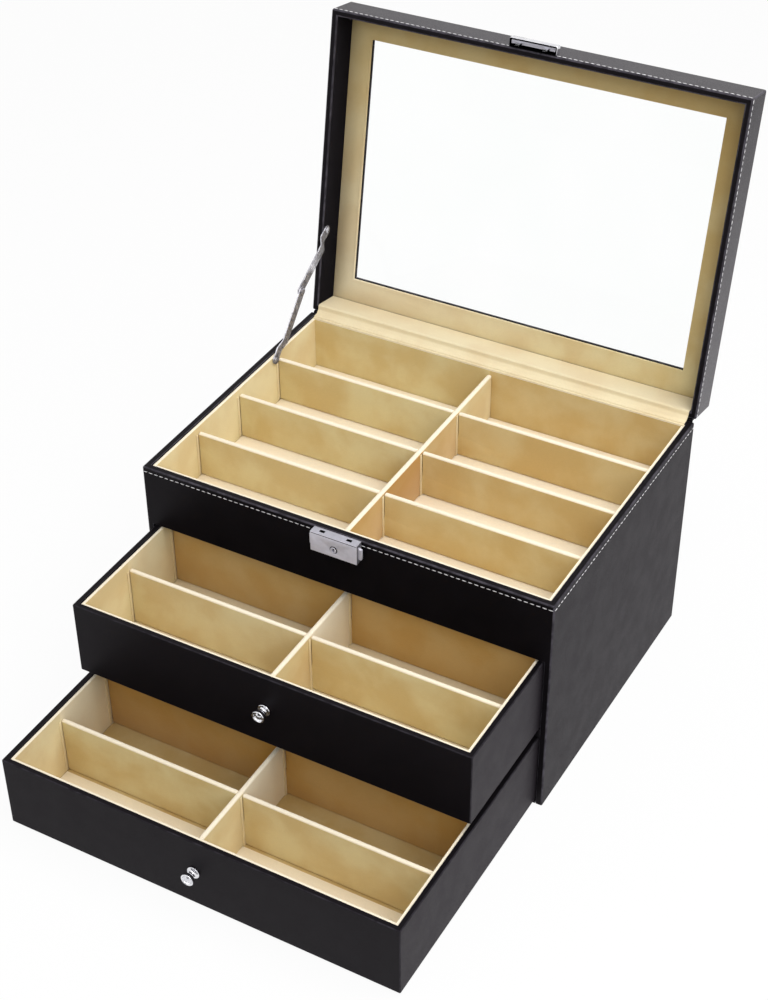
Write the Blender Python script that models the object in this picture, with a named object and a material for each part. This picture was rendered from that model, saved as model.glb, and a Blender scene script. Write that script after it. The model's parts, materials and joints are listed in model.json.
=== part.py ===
"""A display case for eyeglasses: a glazed lid and a fitted tray over two fitted drawers.

Lengths are in metres. X runs to the right, Y to the back and Z up, and the origin is the
middle of the case's underside. The case stands open: the lid leans back at its stop, and
both drawers are pulled out, the lower one further than the upper one.
"""

import math

import bmesh
import bpy
from mathutils import Matrix, Vector

# The case and its boards
CASE_WIDTH = 0.3350
CASE_DEPTH = 0.2450
WALL = 0.0052
BASE_BOARD = 0.0026
SHELF_BOARD = 0.0076
TRAY_BOARD = 0.0051
TRAY_FRONT_HEIGHT = 0.0521
BOARD_GAP = 0.0003
COVER_ROUND = 0.0012
BOARD_EDGE = 0.0003

# The drawers
DRAWER_HEIGHT = 0.0627
DRAWER_WALL = 0.0042
DRAWER_FLOOR = 0.0020
DRAWER_SIDE_GAP = 0.0009
DRAWER_BACK_GAP = 0.0010
DRAWER_TOP_GAP = 0.0011
DRAWER_GLIDE_GAP = 0.0003
TOP_DRAWER_HELD = 0.1333
BOTTOM_DRAWER_HELD = 0.0353

# The lining boards and the dividers, which lap at half their height
ROWS = 4
LINING = 0.0021
LINING_DROP = 0.0010
LINING_EDGE = 0.0005
FLOOR_PAD = 0.0018
DIVIDER = 0.0037
DIVIDER_EDGE = 0.0007
TRAY_DIVIDER_DROP = 0.0062
DRAWER_DIVIDER_DROP = 0.0085
CENTRE_DIVIDER_RISE = 0.0012
LAP_GAP = 0.0003

# The lid: rails, then an inner frame, the pane and a top frame stacked over them
LID_HEIGHT = 0.0290
LID_OPEN_ANGLE = math.radians(100)
RIM_GAP = 0.0012
PIVOT_SETBACK = 0.0007
TOP_FRAME = 0.0016
GLASS = 0.0016
GLASS_LAP = 0.0090
INNER_FRAME = 0.0015
PANE_GAP = 0.0003
WINDOW_MARGIN_SIDE = 0.0189
WINDOW_MARGIN_FRONT = 0.0192
WINDOW_MARGIN_BACK = 0.0202
WINDOW_EDGE = 0.0004

# The two strips that join lid and case along the back
HINGE_LEATHER = 0.0006
HINGE_LEATHER_LEG = 0.0180
HINGE_LEATHER_MARGIN = 0.0020
HINGE_LINING = 0.0004
HINGE_LINING_MARGIN = 0.0008
HINGE_LINING_BEND = 0.0022
SKIN_GAP = 0.0001

# The lock on the tray front
LOCK_WIDTH = 0.0380
LOCK_HEIGHT = 0.0166
LOCK_DEPTH = 0.0068
LOCK_DROP = 0.0001
LOCK_ROUND = 0.0009
LOCK_CORE_HALF = 0.0037
POCKET_DEPTH = 0.0032
POCKET_BACK_WALL = 0.0018
POCKET_HEIGHT = 0.0111
POCKET_BELOW_TOP = 0.0028
LOCK_GAP = 0.0003
BUTTON_PROUD = 0.0023
BUTTON_TRAVEL = 0.0016
BUTTON_ROUND = 0.0008
SPRING_REST = 0.0032
SPRING_RADIUS = 0.0011
SPRING_WIRE = 0.00018
SPRING_TURNS = 3
CYLINDER_RADIUS = 0.00275
CYLINDER_PROUD = 0.0003
CYLINDER_BELOW_TOP = 0.0102
BORE_DEPTH = 0.0046
COLLAR_RADIUS = 0.0043
COLLAR_PROUD = 0.0003
KEYHOLE_WIDTH = 0.0013
KEYHOLE_HEIGHT = 0.0034
KEYHOLE_DEPTH = 0.0024

# The hasp on the lid front and its two prongs
HASP_HEIGHT = 0.0062
HASP_SHEET = 0.0010
PRONG_SPACING = 0.0220
PRONG_WIDTH = 0.0040
PRONG_THICKNESS = 0.0014
PRONG_REACH = 0.0042
PRONG_TAPER = 0.0008
SLOT_GAP = 0.0003

# The knobs and their screws
KNOB_HEIGHT = 0.0325
KNOB_BASE_RADIUS = 0.0050
KNOB_BASE = 0.0010
KNOB_STEM_RADIUS = 0.0022
KNOB_STEM = 0.0042
KNOB_HEAD_RADIUS = 0.0050
KNOB_HEAD = 0.0038
KNOB_DISH = 0.0008
KNOB_BORE_DEPTH = 0.0050
SCREW_RADIUS = 0.0014
SCREW_HEAD_RADIUS = 0.0032
SCREW_HEAD = 0.0014
SCREW_GAP = 0.0003
SCREW_SLOT = 0.0008

# The folding stay at the left: its pivots are given with the lid closed, and its elbow with
# the lid open, by its distance along the line from pivot to pivot and its rise off that line
STAY_CASE_PIVOT_FORWARD = 0.0707
STAY_CASE_PIVOT_BELOW_RIM = 0.0045
STAY_LID_PIVOT_FORWARD = 0.0692
STAY_LID_PIVOT_ABOVE_RIM = 0.0048
STAY_ELBOW_ALONG = 0.0574
STAY_ELBOW_RISE = 0.0085
STAY_SHEET = 0.0010
STAY_ARM_WIDTH = 0.0068
STAY_EYE_RADIUS = 0.0037
STAY_HOLE_RADIUS = 0.0016
STAY_PIN_RADIUS = 0.0013
STAY_HEAD_RADIUS = 0.0030
STAY_HEAD = 0.0010
STAY_GAP = 0.0003
STAY_LAYER = 0.0026
STAY_JOGGLE_START = 0.0090
STAY_JOGGLE = 0.0070

# How finely round forms are drawn, and how far a cutter runs past a face
ROUND_STEPS = 24
SMALL_ROUND_STEPS = 12
OVERRUN = 0.0010

# Places that follow from the sizes above
CASE_INNER_HALF = CASE_WIDTH / 2 - WALL
CASE_FRONT = -CASE_DEPTH / 2
CASE_BACK = CASE_DEPTH / 2
BOTTOM_DRAWER_Z = BASE_BOARD + DRAWER_GLIDE_GAP
SHELF_Z = BOTTOM_DRAWER_Z + DRAWER_HEIGHT + DRAWER_TOP_GAP
TOP_DRAWER_Z = SHELF_Z + SHELF_BOARD + DRAWER_GLIDE_GAP
TRAY_BOARD_Z = TOP_DRAWER_Z + DRAWER_HEIGHT + DRAWER_TOP_GAP
RIM_Z = TRAY_BOARD_Z + TRAY_FRONT_HEIGHT
DRAWER_HALF = CASE_INNER_HALF - DRAWER_SIDE_GAP
DRAWER_DEPTH = CASE_DEPTH - WALL - DRAWER_BACK_GAP
PIVOT_Y = CASE_BACK + PIVOT_SETBACK
PIVOT_Z = RIM_Z + RIM_GAP / 2
LID_RIM = RIM_GAP / 2
LID_TOP = LID_RIM + LID_HEIGHT
LID_FRONT = CASE_FRONT - PIVOT_Y
LID_BACK = CASE_BACK - PIVOT_Y
GLASS_TOP = LID_TOP - TOP_FRAME - PANE_GAP
INNER_FRAME_TOP = GLASS_TOP - GLASS - PANE_GAP
INNER_FRAME_FACE = INNER_FRAME_TOP - INNER_FRAME
RAIL_TOP = LID_TOP - TOP_FRAME - BOARD_GAP

AXES = "XYZ"


def clear_scene():
    for item in list(bpy.data.objects):
        bpy.data.objects.remove(item, do_unlink=True)


def finish_material(name, colour, roughness, metallic=0.0, alpha=1.0):
    material = bpy.data.materials.new(name)
    material.use_nodes = True
    shader = material.node_tree.nodes["Principled BSDF"]
    shader.inputs["Base Color"].default_value = (*colour, 1.0)
    shader.inputs["Roughness"].default_value = roughness
    shader.inputs["Metallic"].default_value = metallic
    shader.inputs["Alpha"].default_value = alpha
    material.diffuse_color = (*colour, alpha)
    return material


def empty(name, location, parent=None):
    item = bpy.data.objects.new(name, None)
    bpy.context.collection.objects.link(item)
    item.location = location
    item.parent = parent
    item.empty_display_size = WALL
    return item


def solid(name, bm, material, parent, location=(0, 0, 0), rotation=(0, 0, 0)):
    """Turns a bmesh into a smooth-shaded object, with its faces pointing out."""
    bmesh.ops.recalc_face_normals(bm, faces=bm.faces)
    mesh = bpy.data.meshes.new(name)
    bm.to_mesh(mesh)
    bm.free()
    mesh.shade_smooth()
    mesh.set_sharp_from_angle(angle=math.radians(35))
    mesh.materials.append(material)
    item = bpy.data.objects.new(name, mesh)
    bpy.context.collection.objects.link(item)
    item.location = location
    item.rotation_euler = rotation
    item.parent = parent
    return item


def soften(item, width, segments=1):
    bevel = item.modifiers.new("edges", "BEVEL")
    bevel.width = width
    bevel.segments = segments
    bevel.limit_method = "ANGLE"
    bevel.angle_limit = math.radians(50)
    return bevel


def combine(item, helper, operation):
    """Adds a Boolean to item. The helper solid is kept, but takes no part in the model."""
    helper.hide_render = True
    helper.display_type = "WIRE"
    boolean = item.modifiers.new(helper.name, "BOOLEAN")
    boolean.object = helper
    boolean.operation = operation
    boolean.solver = "EXACT"


def box_mesh(size):
    bm = bmesh.new()
    bmesh.ops.create_cube(bm, size=1.0, matrix=Matrix.Diagonal((*size, 1.0)))
    return bm


def centre_and_size(low, high):
    low = Vector(low)
    high = Vector(high)
    return (low + high) / 2, high - low


def block(name, low, high, material, parent=None):
    centre, size = centre_and_size(low, high)
    return solid(name, box_mesh(size), material, parent, centre)


def round_outer_edges(bm, sides, radius):
    """Rounds the edges where two of the named sides of a box meet, such as +Z and -X."""
    bm.normal_update()
    outer = set()
    for side in sides:
        direction = Vector((0, 0, 0))
        direction[AXES.index(side[1])] = 1 if side[0] == "+" else -1
        outer |= {face for face in bm.faces if face.normal.dot(direction) > 0.9}
    edges = [edge for edge in bm.edges if set(edge.link_faces) <= outer]
    bmesh.ops.bevel(
        bm, geom=edges, offset=radius, segments=3, profile=0.5, affect="EDGES"
    )


def board(name, low, high, material, parent=None, covered=(), radius=COVER_ROUND):
    """A board with fine edges, rounded wherever two of its covered sides meet."""
    centre, size = centre_and_size(low, high)
    bm = box_mesh(size)
    if covered:
        round_outer_edges(bm, covered, radius)
    item = solid(name, bm, material, parent, centre)
    soften(item, BOARD_EDGE)
    return item


def prism(name, outline, axis, start, end, material, parent=None):
    """Extrudes a closed outline along an axis. Its points are in the other two axes, in order."""
    run = AXES.index(axis)
    first, second = [index for index in range(3) if index != run]
    bm = bmesh.new()
    corners = []
    for point in outline:
        corner = Vector((0, 0, 0))
        corner[first] = point[0]
        corner[second] = point[1]
        corner[run] = start
        corners.append(bm.verts.new(corner))
    face = bm.faces.new(corners)
    grown = bmesh.ops.extrude_face_region(bm, geom=[face])
    shift = Vector((0, 0, 0))
    shift[run] = end - start
    moved = [part for part in grown["geom"] if isinstance(part, bmesh.types.BMVert)]
    bmesh.ops.translate(bm, verts=moved, vec=shift)
    return solid(name, bm, material, parent)


def band(name, low, high, section, material, parent=None):
    """Runs a closed section round a rectangle. Its points are (distance inwards, height)."""
    bm = bmesh.new()
    loops = []
    for inset, height in section:
        corners = (
            (low[0] + inset, low[1] + inset, height),
            (high[0] - inset, low[1] + inset, height),
            (high[0] - inset, high[1] - inset, height),
            (low[0] + inset, high[1] - inset, height),
        )
        loops.append([bm.verts.new(corner) for corner in corners])
    for index, loop in enumerate(loops):
        following = loops[(index + 1) % len(loops)]
        for corner in range(4):
            beside = (corner + 1) % 4
            bm.faces.new(
                (loop[corner], loop[beside], following[beside], following[corner])
            )
    return solid(name, bm, material, parent)


def turned_mesh(profile, steps):
    """Turns a profile of (radius, height) about Z. It starts and ends on the axis."""
    bm = bmesh.new()
    points = [bm.verts.new((radius, 0, height)) for radius, height in profile]
    edges = [bm.edges.new(pair) for pair in zip(points, points[1:])]
    bmesh.ops.spin(
        bm,
        geom=points + edges,
        cent=(0, 0, 0),
        axis=(0, 0, 1),
        angle=math.tau,
        steps=steps,
        use_duplicate=False,
    )
    bmesh.ops.remove_doubles(bm, verts=bm.verts, dist=BOARD_GAP / 100)
    return bm


def arc(centre, radius, start, end, count):
    """Points along an arc, with its angles in degrees."""
    points = []
    for step in range(count + 1):
        angle = math.radians(start + (end - start) * step / count)
        points.append(
            (centre[0] + radius * math.cos(angle), centre[1] + radius * math.sin(angle))
        )
    return points


def turned_on_x(point, angle):
    """A point of the YZ plane, turned about the X axis through zero."""
    y, z = point
    return (
        y * math.cos(angle) - z * math.sin(angle),
        y * math.sin(angle) + z * math.cos(angle),
    )


# The leather-covered boards of the case


def make_case(leather):
    inner = CASE_INNER_HALF
    outer = CASE_WIDTH / 2
    fitted = inner - BOARD_GAP
    behind_front = CASE_FRONT + WALL + BOARD_GAP
    before_back = CASE_BACK - WALL - BOARD_GAP
    board("base_board", (-fitted, CASE_FRONT, 0), (fitted, before_back, BASE_BOARD), leather)
    board(
        "left_wall",
        (-outer, CASE_FRONT, 0),
        (-inner, CASE_BACK, RIM_Z),
        leather,
        covered=("-X", "-Y", "+Y", "+Z"),
    )
    board(
        "right_wall",
        (inner, CASE_FRONT, 0),
        (outer, CASE_BACK, RIM_Z),
        leather,
        covered=("+X", "-Y", "+Y", "+Z"),
    )
    board(
        "back_wall",
        (-fitted, CASE_BACK - WALL, 0),
        (fitted, CASE_BACK, RIM_Z),
        leather,
        covered=("+Y", "+Z"),
    )
    board(
        "drawer_shelf",
        (-fitted, CASE_FRONT, SHELF_Z),
        (fitted, before_back, SHELF_Z + SHELF_BOARD),
        leather,
    )
    board(
        "tray_front_panel",
        (-fitted, CASE_FRONT, TRAY_BOARD_Z),
        (fitted, CASE_FRONT + WALL, RIM_Z),
        leather,
        covered=("-Y", "+Z"),
    )
    board(
        "tray_floor_board",
        (-fitted, behind_front, TRAY_BOARD_Z),
        (fitted, before_back, TRAY_BOARD_Z + TRAY_BOARD),
        leather,
    )


# The fittings that the tray and both drawers share


def make_fittings(prefix, half_width, front, back, floor, rim, divider_drop, suede, parent):
    """A folded lining, a floor pad and lapped dividers inside a hollow with these faces."""
    lining_top = rim - LINING_DROP
    lining_base = floor + BOARD_GAP
    section = (
        (0, lining_base),
        (LINING, lining_base),
        (LINING, lining_top),
        (0, lining_top),
    )
    low = (-half_width + BOARD_GAP, front + BOARD_GAP)
    high = (half_width - BOARD_GAP, back - BOARD_GAP)
    lining = band(prefix + "_lining", low, high, section, suede, parent)
    soften(lining, LINING_EDGE)

    inner_half = half_width - BOARD_GAP - LINING
    inner_front = front + BOARD_GAP + LINING
    inner_back = back - BOARD_GAP - LINING
    pad_top = lining_base + FLOOR_PAD
    board(
        prefix + "_floor_pad",
        (-inner_half + BOARD_GAP, inner_front + BOARD_GAP, lining_base),
        (inner_half - BOARD_GAP, inner_back - BOARD_GAP, pad_top),
        suede,
        parent,
    )

    base = pad_top + BOARD_GAP
    cross_top = rim - divider_drop
    centre_top = cross_top + CENTRE_DIVIDER_RISE
    lap = (base + cross_top) / 2
    slot_half = DIVIDER / 2 + LAP_GAP
    clear_row = (inner_back - inner_front - (ROWS - 1) * DIVIDER) / ROWS
    middles = [
        inner_front + row * (clear_row + DIVIDER) - DIVIDER / 2
        for row in range(1, ROWS)
    ]

    reach = inner_half - BOARD_GAP
    cross_outline = (
        (-reach, base),
        (reach, base),
        (reach, cross_top),
        (slot_half, cross_top),
        (slot_half, lap - LAP_GAP / 2),
        (-slot_half, lap - LAP_GAP / 2),
        (-slot_half, cross_top),
        (-reach, cross_top),
    )
    for number, middle in enumerate(middles, 1):
        cross = prism(
            f"{prefix}_cross_divider_{number}",
            cross_outline,
            "Y",
            middle - DIVIDER / 2,
            middle + DIVIDER / 2,
            suede,
            parent,
        )
        soften(cross, DIVIDER_EDGE)

    centre_outline = [(inner_front + BOARD_GAP, base)]
    for middle in middles:
        centre_outline.append((middle - slot_half, base))
        centre_outline.append((middle - slot_half, lap + LAP_GAP / 2))
        centre_outline.append((middle + slot_half, lap + LAP_GAP / 2))
        centre_outline.append((middle + slot_half, base))
    centre_outline.append((inner_back - BOARD_GAP, base))
    centre_outline.append((inner_back - BOARD_GAP, centre_top))
    centre_outline.append((inner_front + BOARD_GAP, centre_top))
    centre = prism(
        prefix + "_centre_divider",
        centre_outline,
        "X",
        -DIVIDER / 2,
        DIVIDER / 2,
        suede,
        parent,
    )
    soften(centre, DIVIDER_EDGE)


# The drawers, each in its own frame: zero is the middle of the front's lower outer edge


def make_knob(prefix, chrome, steel, front_board, parent):
    """A turned knob that a screw through the drawer front holds."""
    neck = KNOB_BASE + KNOB_STEM
    bore = SCREW_RADIUS + SCREW_GAP
    top = neck + KNOB_HEAD
    flare = (KNOB_BASE_RADIUS - KNOB_STEM_RADIUS) / 2
    head_round = KNOB_HEAD / 3
    profile = [(0, KNOB_BORE_DEPTH), (bore, KNOB_BORE_DEPTH), (bore, 0)]
    profile += [(KNOB_BASE_RADIUS, 0), (KNOB_BASE_RADIUS, KNOB_BASE / 2)]
    profile += [(KNOB_STEM_RADIUS + flare, KNOB_BASE)]
    profile += [(KNOB_STEM_RADIUS, KNOB_BASE + flare)]
    profile += [(KNOB_STEM_RADIUS, neck - flare)]
    profile += arc(
        (KNOB_HEAD_RADIUS - head_round, neck + head_round), head_round, -90, 0, 3
    )
    profile += arc(
        (KNOB_HEAD_RADIUS - head_round, top - head_round), head_round, 0, 90, 3
    )
    profile += [(KNOB_HEAD_RADIUS / 2, top - KNOB_DISH / 2), (0, top - KNOB_DISH)]
    outwards = (math.radians(90), 0, 0)
    solid(
        prefix + "_knob",
        turned_mesh(profile, ROUND_STEPS),
        chrome,
        parent,
        (0, -SCREW_GAP, KNOB_HEIGHT),
        outwards,
    )

    head_seat = DRAWER_WALL - SCREW_HEAD - SCREW_GAP
    shank_end = head_seat + KNOB_BORE_DEPTH - SCREW_GAP
    screw_profile = [(0, -SCREW_HEAD), (SCREW_HEAD_RADIUS, -SCREW_HEAD)]
    screw_profile += [(SCREW_HEAD_RADIUS, 0), (SCREW_RADIUS, 0)]
    screw_profile += [(SCREW_RADIUS, shank_end - SCREW_RADIUS), (0, shank_end)]
    screw = solid(
        prefix + "_knob_screw",
        turned_mesh(screw_profile, SMALL_ROUND_STEPS),
        steel,
        parent,
        (0, head_seat, KNOB_HEIGHT),
        outwards,
    )
    driver = block(
        prefix + "_screw_slot_cutter",
        (-SCREW_HEAD_RADIUS - OVERRUN, head_seat + SCREW_HEAD / 2, KNOB_HEIGHT - SCREW_SLOT / 2),
        (SCREW_HEAD_RADIUS + OVERRUN, DRAWER_WALL + OVERRUN, KNOB_HEIGHT + SCREW_SLOT / 2),
        steel,
        parent,
    )
    combine(screw, driver, "DIFFERENCE")

    sink = SCREW_HEAD_RADIUS + SCREW_GAP
    seat = DRAWER_WALL - head_seat + SCREW_GAP
    hole_profile = [(0, -OVERRUN), (sink, -OVERRUN), (sink, seat), (bore, seat)]
    hole_profile += [(bore, DRAWER_WALL + OVERRUN), (0, DRAWER_WALL + OVERRUN)]
    hole = solid(
        prefix + "_screw_hole_cutter",
        turned_mesh(hole_profile, SMALL_ROUND_STEPS),
        steel,
        parent,
        (0, DRAWER_WALL, KNOB_HEIGHT),
        outwards,
    )
    combine(front_board, hole, "DIFFERENCE")


def make_drawer(prefix, held, height, leather, suede, chrome, steel):
    slide = empty(prefix + "_slide", (0, CASE_FRONT + held - DRAWER_DEPTH, height))
    half = DRAWER_HALF
    wall = DRAWER_WALL
    inner = half - wall
    fitted = inner - BOARD_GAP
    behind_front = wall + BOARD_GAP
    before_back = DRAWER_DEPTH - wall - BOARD_GAP
    front = board(
        prefix + "_front",
        (-half, 0, 0),
        (half, wall, DRAWER_HEIGHT),
        leather,
        slide,
        covered=("-X", "+X", "-Y", "-Z", "+Z"),
    )
    for side, low, high in (("left", -half, -inner), ("right", inner, half)):
        board(
            f"{prefix}_{side}_side",
            (low, behind_front, 0),
            (high, DRAWER_DEPTH, DRAWER_HEIGHT),
            leather,
            slide,
        )
    board(
        prefix + "_back",
        (-fitted, DRAWER_DEPTH - wall, 0),
        (fitted, DRAWER_DEPTH, DRAWER_HEIGHT),
        leather,
        slide,
    )
    board(
        prefix + "_bottom",
        (-fitted, behind_front, 0),
        (fitted, before_back, DRAWER_FLOOR),
        leather,
        slide,
    )
    make_fittings(
        prefix,
        inner,
        wall,
        DRAWER_DEPTH - wall,
        DRAWER_FLOOR,
        DRAWER_HEIGHT,
        DRAWER_DIVIDER_DROP,
        suede,
        slide,
    )
    make_knob(prefix, chrome, steel, front, slide)


# The lid, in the frame of its hinge, as it lies when closed


def window_frame(name, low, high, bottom, top, material, parent):
    """A board with the window cut through it, which leaves unlike margins."""
    frame = board(name, (*low, bottom), (*high, top), material, parent)
    opening = window_bounds()
    cutter = block(
        name + "_window_cutter",
        (*opening[0], bottom - OVERRUN),
        (*opening[1], top + OVERRUN),
        material,
        parent,
    )
    combine(frame, cutter, "DIFFERENCE")
    return frame


def window_bounds():
    half = CASE_INNER_HALF - WINDOW_MARGIN_SIDE
    front = LID_FRONT + WALL + WINDOW_MARGIN_FRONT
    back = LID_BACK - WALL - WINDOW_MARGIN_BACK
    return (-half, front), (half, back)


def make_lid(leather, suede, glass):
    pivot = empty("lid_pivot", (0, PIVOT_Y, PIVOT_Z))
    pivot.rotation_euler = (-LID_OPEN_ANGLE, 0, 0)
    outer = CASE_WIDTH / 2
    inner = CASE_INNER_HALF
    fitted = inner - BOARD_GAP
    for side, low, high in (("left", -outer, -inner), ("right", inner, outer)):
        board(
            f"lid_{side}_rail",
            (low, LID_FRONT, LID_RIM),
            (high, LID_BACK, RAIL_TOP),
            leather,
            pivot,
            covered=("-X" if side == "left" else "+X", "-Y", "+Y", "-Z"),
        )
    board(
        "lid_front_rail",
        (-fitted, LID_FRONT, LID_RIM),
        (fitted, LID_FRONT + WALL, RAIL_TOP),
        leather,
        pivot,
        covered=("-Y", "-Z"),
    )
    board(
        "lid_back_rail",
        (-fitted, LID_BACK - WALL, LID_RIM),
        (fitted, LID_BACK, RAIL_TOP),
        leather,
        pivot,
        covered=("+Y", "-Z"),
    )
    top = window_frame(
        "lid_top_frame",
        (-outer, LID_FRONT),
        (outer, LID_BACK),
        LID_TOP - TOP_FRAME,
        LID_TOP,
        leather,
        pivot,
    )
    inside = window_frame(
        "lid_inner_frame",
        (-fitted, LID_FRONT + WALL + BOARD_GAP),
        (fitted, LID_BACK - WALL - BOARD_GAP),
        INNER_FRAME_FACE,
        INNER_FRAME_TOP,
        suede,
        pivot,
    )
    for frame in (top, inside):
        soften(frame, WINDOW_EDGE)

    low, high = window_bounds()
    board(
        "window_glass",
        (low[0] - GLASS_LAP, low[1] - GLASS_LAP, GLASS_TOP - GLASS),
        (high[0] + GLASS_LAP, high[1] + GLASS_LAP, GLASS_TOP),
        glass,
        pivot,
    )
    return pivot


# The two hinge strips: each is one ribbon, bent to follow the open lid


def ribbon(name, inner_side, outer_side, half_width, material):
    outline = list(inner_side) + list(reversed(outer_side))
    return prism(name, outline, "X", -half_width, half_width, material)


def on_open_lid(forward, above):
    """The (Y, Z) of a point of the closed lid, given from the pivot, once the lid is open."""
    y, z = turned_on_x((-forward, above), -LID_OPEN_ANGLE)
    return PIVOT_Y + y, PIVOT_Z + z


def make_hinge(leather, suede):
    near = -PIVOT_SETBACK + BOARD_GAP
    far = near + HINGE_LEATHER
    bottom = PIVOT_Z - HINGE_LEATHER_LEG
    half_turn = LID_OPEN_ANGLE / 2
    reach = math.tan(half_turn)
    sides = []
    for offset in (near, far):
        corner = (PIVOT_Y + offset, PIVOT_Z - offset * reach)
        sides.append(
            (
                (PIVOT_Y + offset, bottom),
                corner,
                on_open_lid(-offset, HINGE_LEATHER_LEG),
            )
        )
    ribbon("hinge_leather", sides[0], sides[1], CASE_WIDTH / 2 - HINGE_LEATHER_MARGIN, leather)

    wall_face = PIVOT_SETBACK + WALL + SKIN_GAP
    rim_face = LID_RIM - SKIN_GAP
    case_rim = RIM_Z + SKIN_GAP
    tray_lining = RIM_Z - LINING_DROP + SKIN_GAP
    step_y = CASE_BACK - WALL - SKIN_GAP
    front_y = CASE_BACK - WALL - BOARD_GAP - LINING
    thick = HINGE_LINING
    under = (
        on_open_lid(wall_face, INNER_FRAME_FACE - BOARD_GAP),
        on_open_lid(wall_face, rim_face),
        on_open_lid(HINGE_LINING_BEND, rim_face),
        (PIVOT_Y - HINGE_LINING_BEND, case_rim),
        (step_y, case_rim),
        (step_y, tray_lining),
        (front_y, tray_lining),
    )
    over = (
        on_open_lid(wall_face + thick, INNER_FRAME_FACE - BOARD_GAP),
        on_open_lid(wall_face + thick, rim_face - thick),
        on_open_lid(HINGE_LINING_BEND, rim_face - thick),
        (PIVOT_Y - HINGE_LINING_BEND, case_rim + thick),
        (step_y - thick, case_rim + thick),
        (step_y - thick, tray_lining + thick),
        (front_y, tray_lining + thick),
    )
    ribbon("hinge_lining", under, over, CASE_INNER_HALF - HINGE_LINING_MARGIN, suede)


# The lock, in the frame of its own centre line at the tray front's face


def button_outline(side):
    """The plate of one squeeze button, notched at the top where a prong comes down."""
    top = -POCKET_BELOW_TOP - LOCK_GAP
    bottom = -POCKET_BELOW_TOP - POCKET_HEIGHT + LOCK_GAP
    outside = LOCK_WIDTH / 2 + BUTTON_PROUD
    inside = LOCK_CORE_HALF + SPRING_REST + LOCK_GAP
    notch_in = PRONG_SPACING / 2 - PRONG_WIDTH / 2 - SLOT_GAP - LOCK_GAP
    notch_out = PRONG_SPACING / 2 + PRONG_WIDTH / 2 + SLOT_GAP + BUTTON_TRAVEL + LOCK_GAP
    notch_floor = -PRONG_REACH - LOCK_GAP - PRONG_THICKNESS
    upper = arc((outside - BUTTON_ROUND, top - BUTTON_ROUND), BUTTON_ROUND, 0, 90, 3)
    lower = arc((outside - BUTTON_ROUND, bottom + BUTTON_ROUND), BUTTON_ROUND, -90, 0, 3)
    points = [(inside, bottom), *lower, *upper]
    points += [(notch_out, top), (notch_out, notch_floor)]
    points += [(notch_in, notch_floor), (notch_in, top), (inside, top)]
    return [(side * x, z) for x, z in points]


def spring_points(side):
    """A helix from the lock's core to the button's inner end."""
    start = LOCK_CORE_HALF + LOCK_GAP + SPRING_WIRE
    length = SPRING_REST - LOCK_GAP - 2 * SPRING_WIRE
    count = SPRING_TURNS * 10
    points = []
    for step in range(count + 1):
        angle = math.tau * SPRING_TURNS * step / count
        along = start + length * step / count
        points.append(
            (side * along, SPRING_RADIUS * math.cos(angle), SPRING_RADIUS * math.sin(angle))
        )
    return points


def tube(name, points, radius, material, parent, location):
    curve = bpy.data.curves.new(name, "CURVE")
    curve.dimensions = "3D"
    curve.bevel_depth = radius
    curve.bevel_resolution = 1
    curve.use_fill_caps = True
    spline = curve.splines.new("POLY")
    spline.points.add(len(points) - 1)
    for place, point in zip(spline.points, points):
        place.co = (*point, 1.0)
    curve.materials.append(material)
    item = bpy.data.objects.new(name, curve)
    bpy.context.collection.objects.link(item)
    item.location = location
    item.parent = parent
    return item


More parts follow.
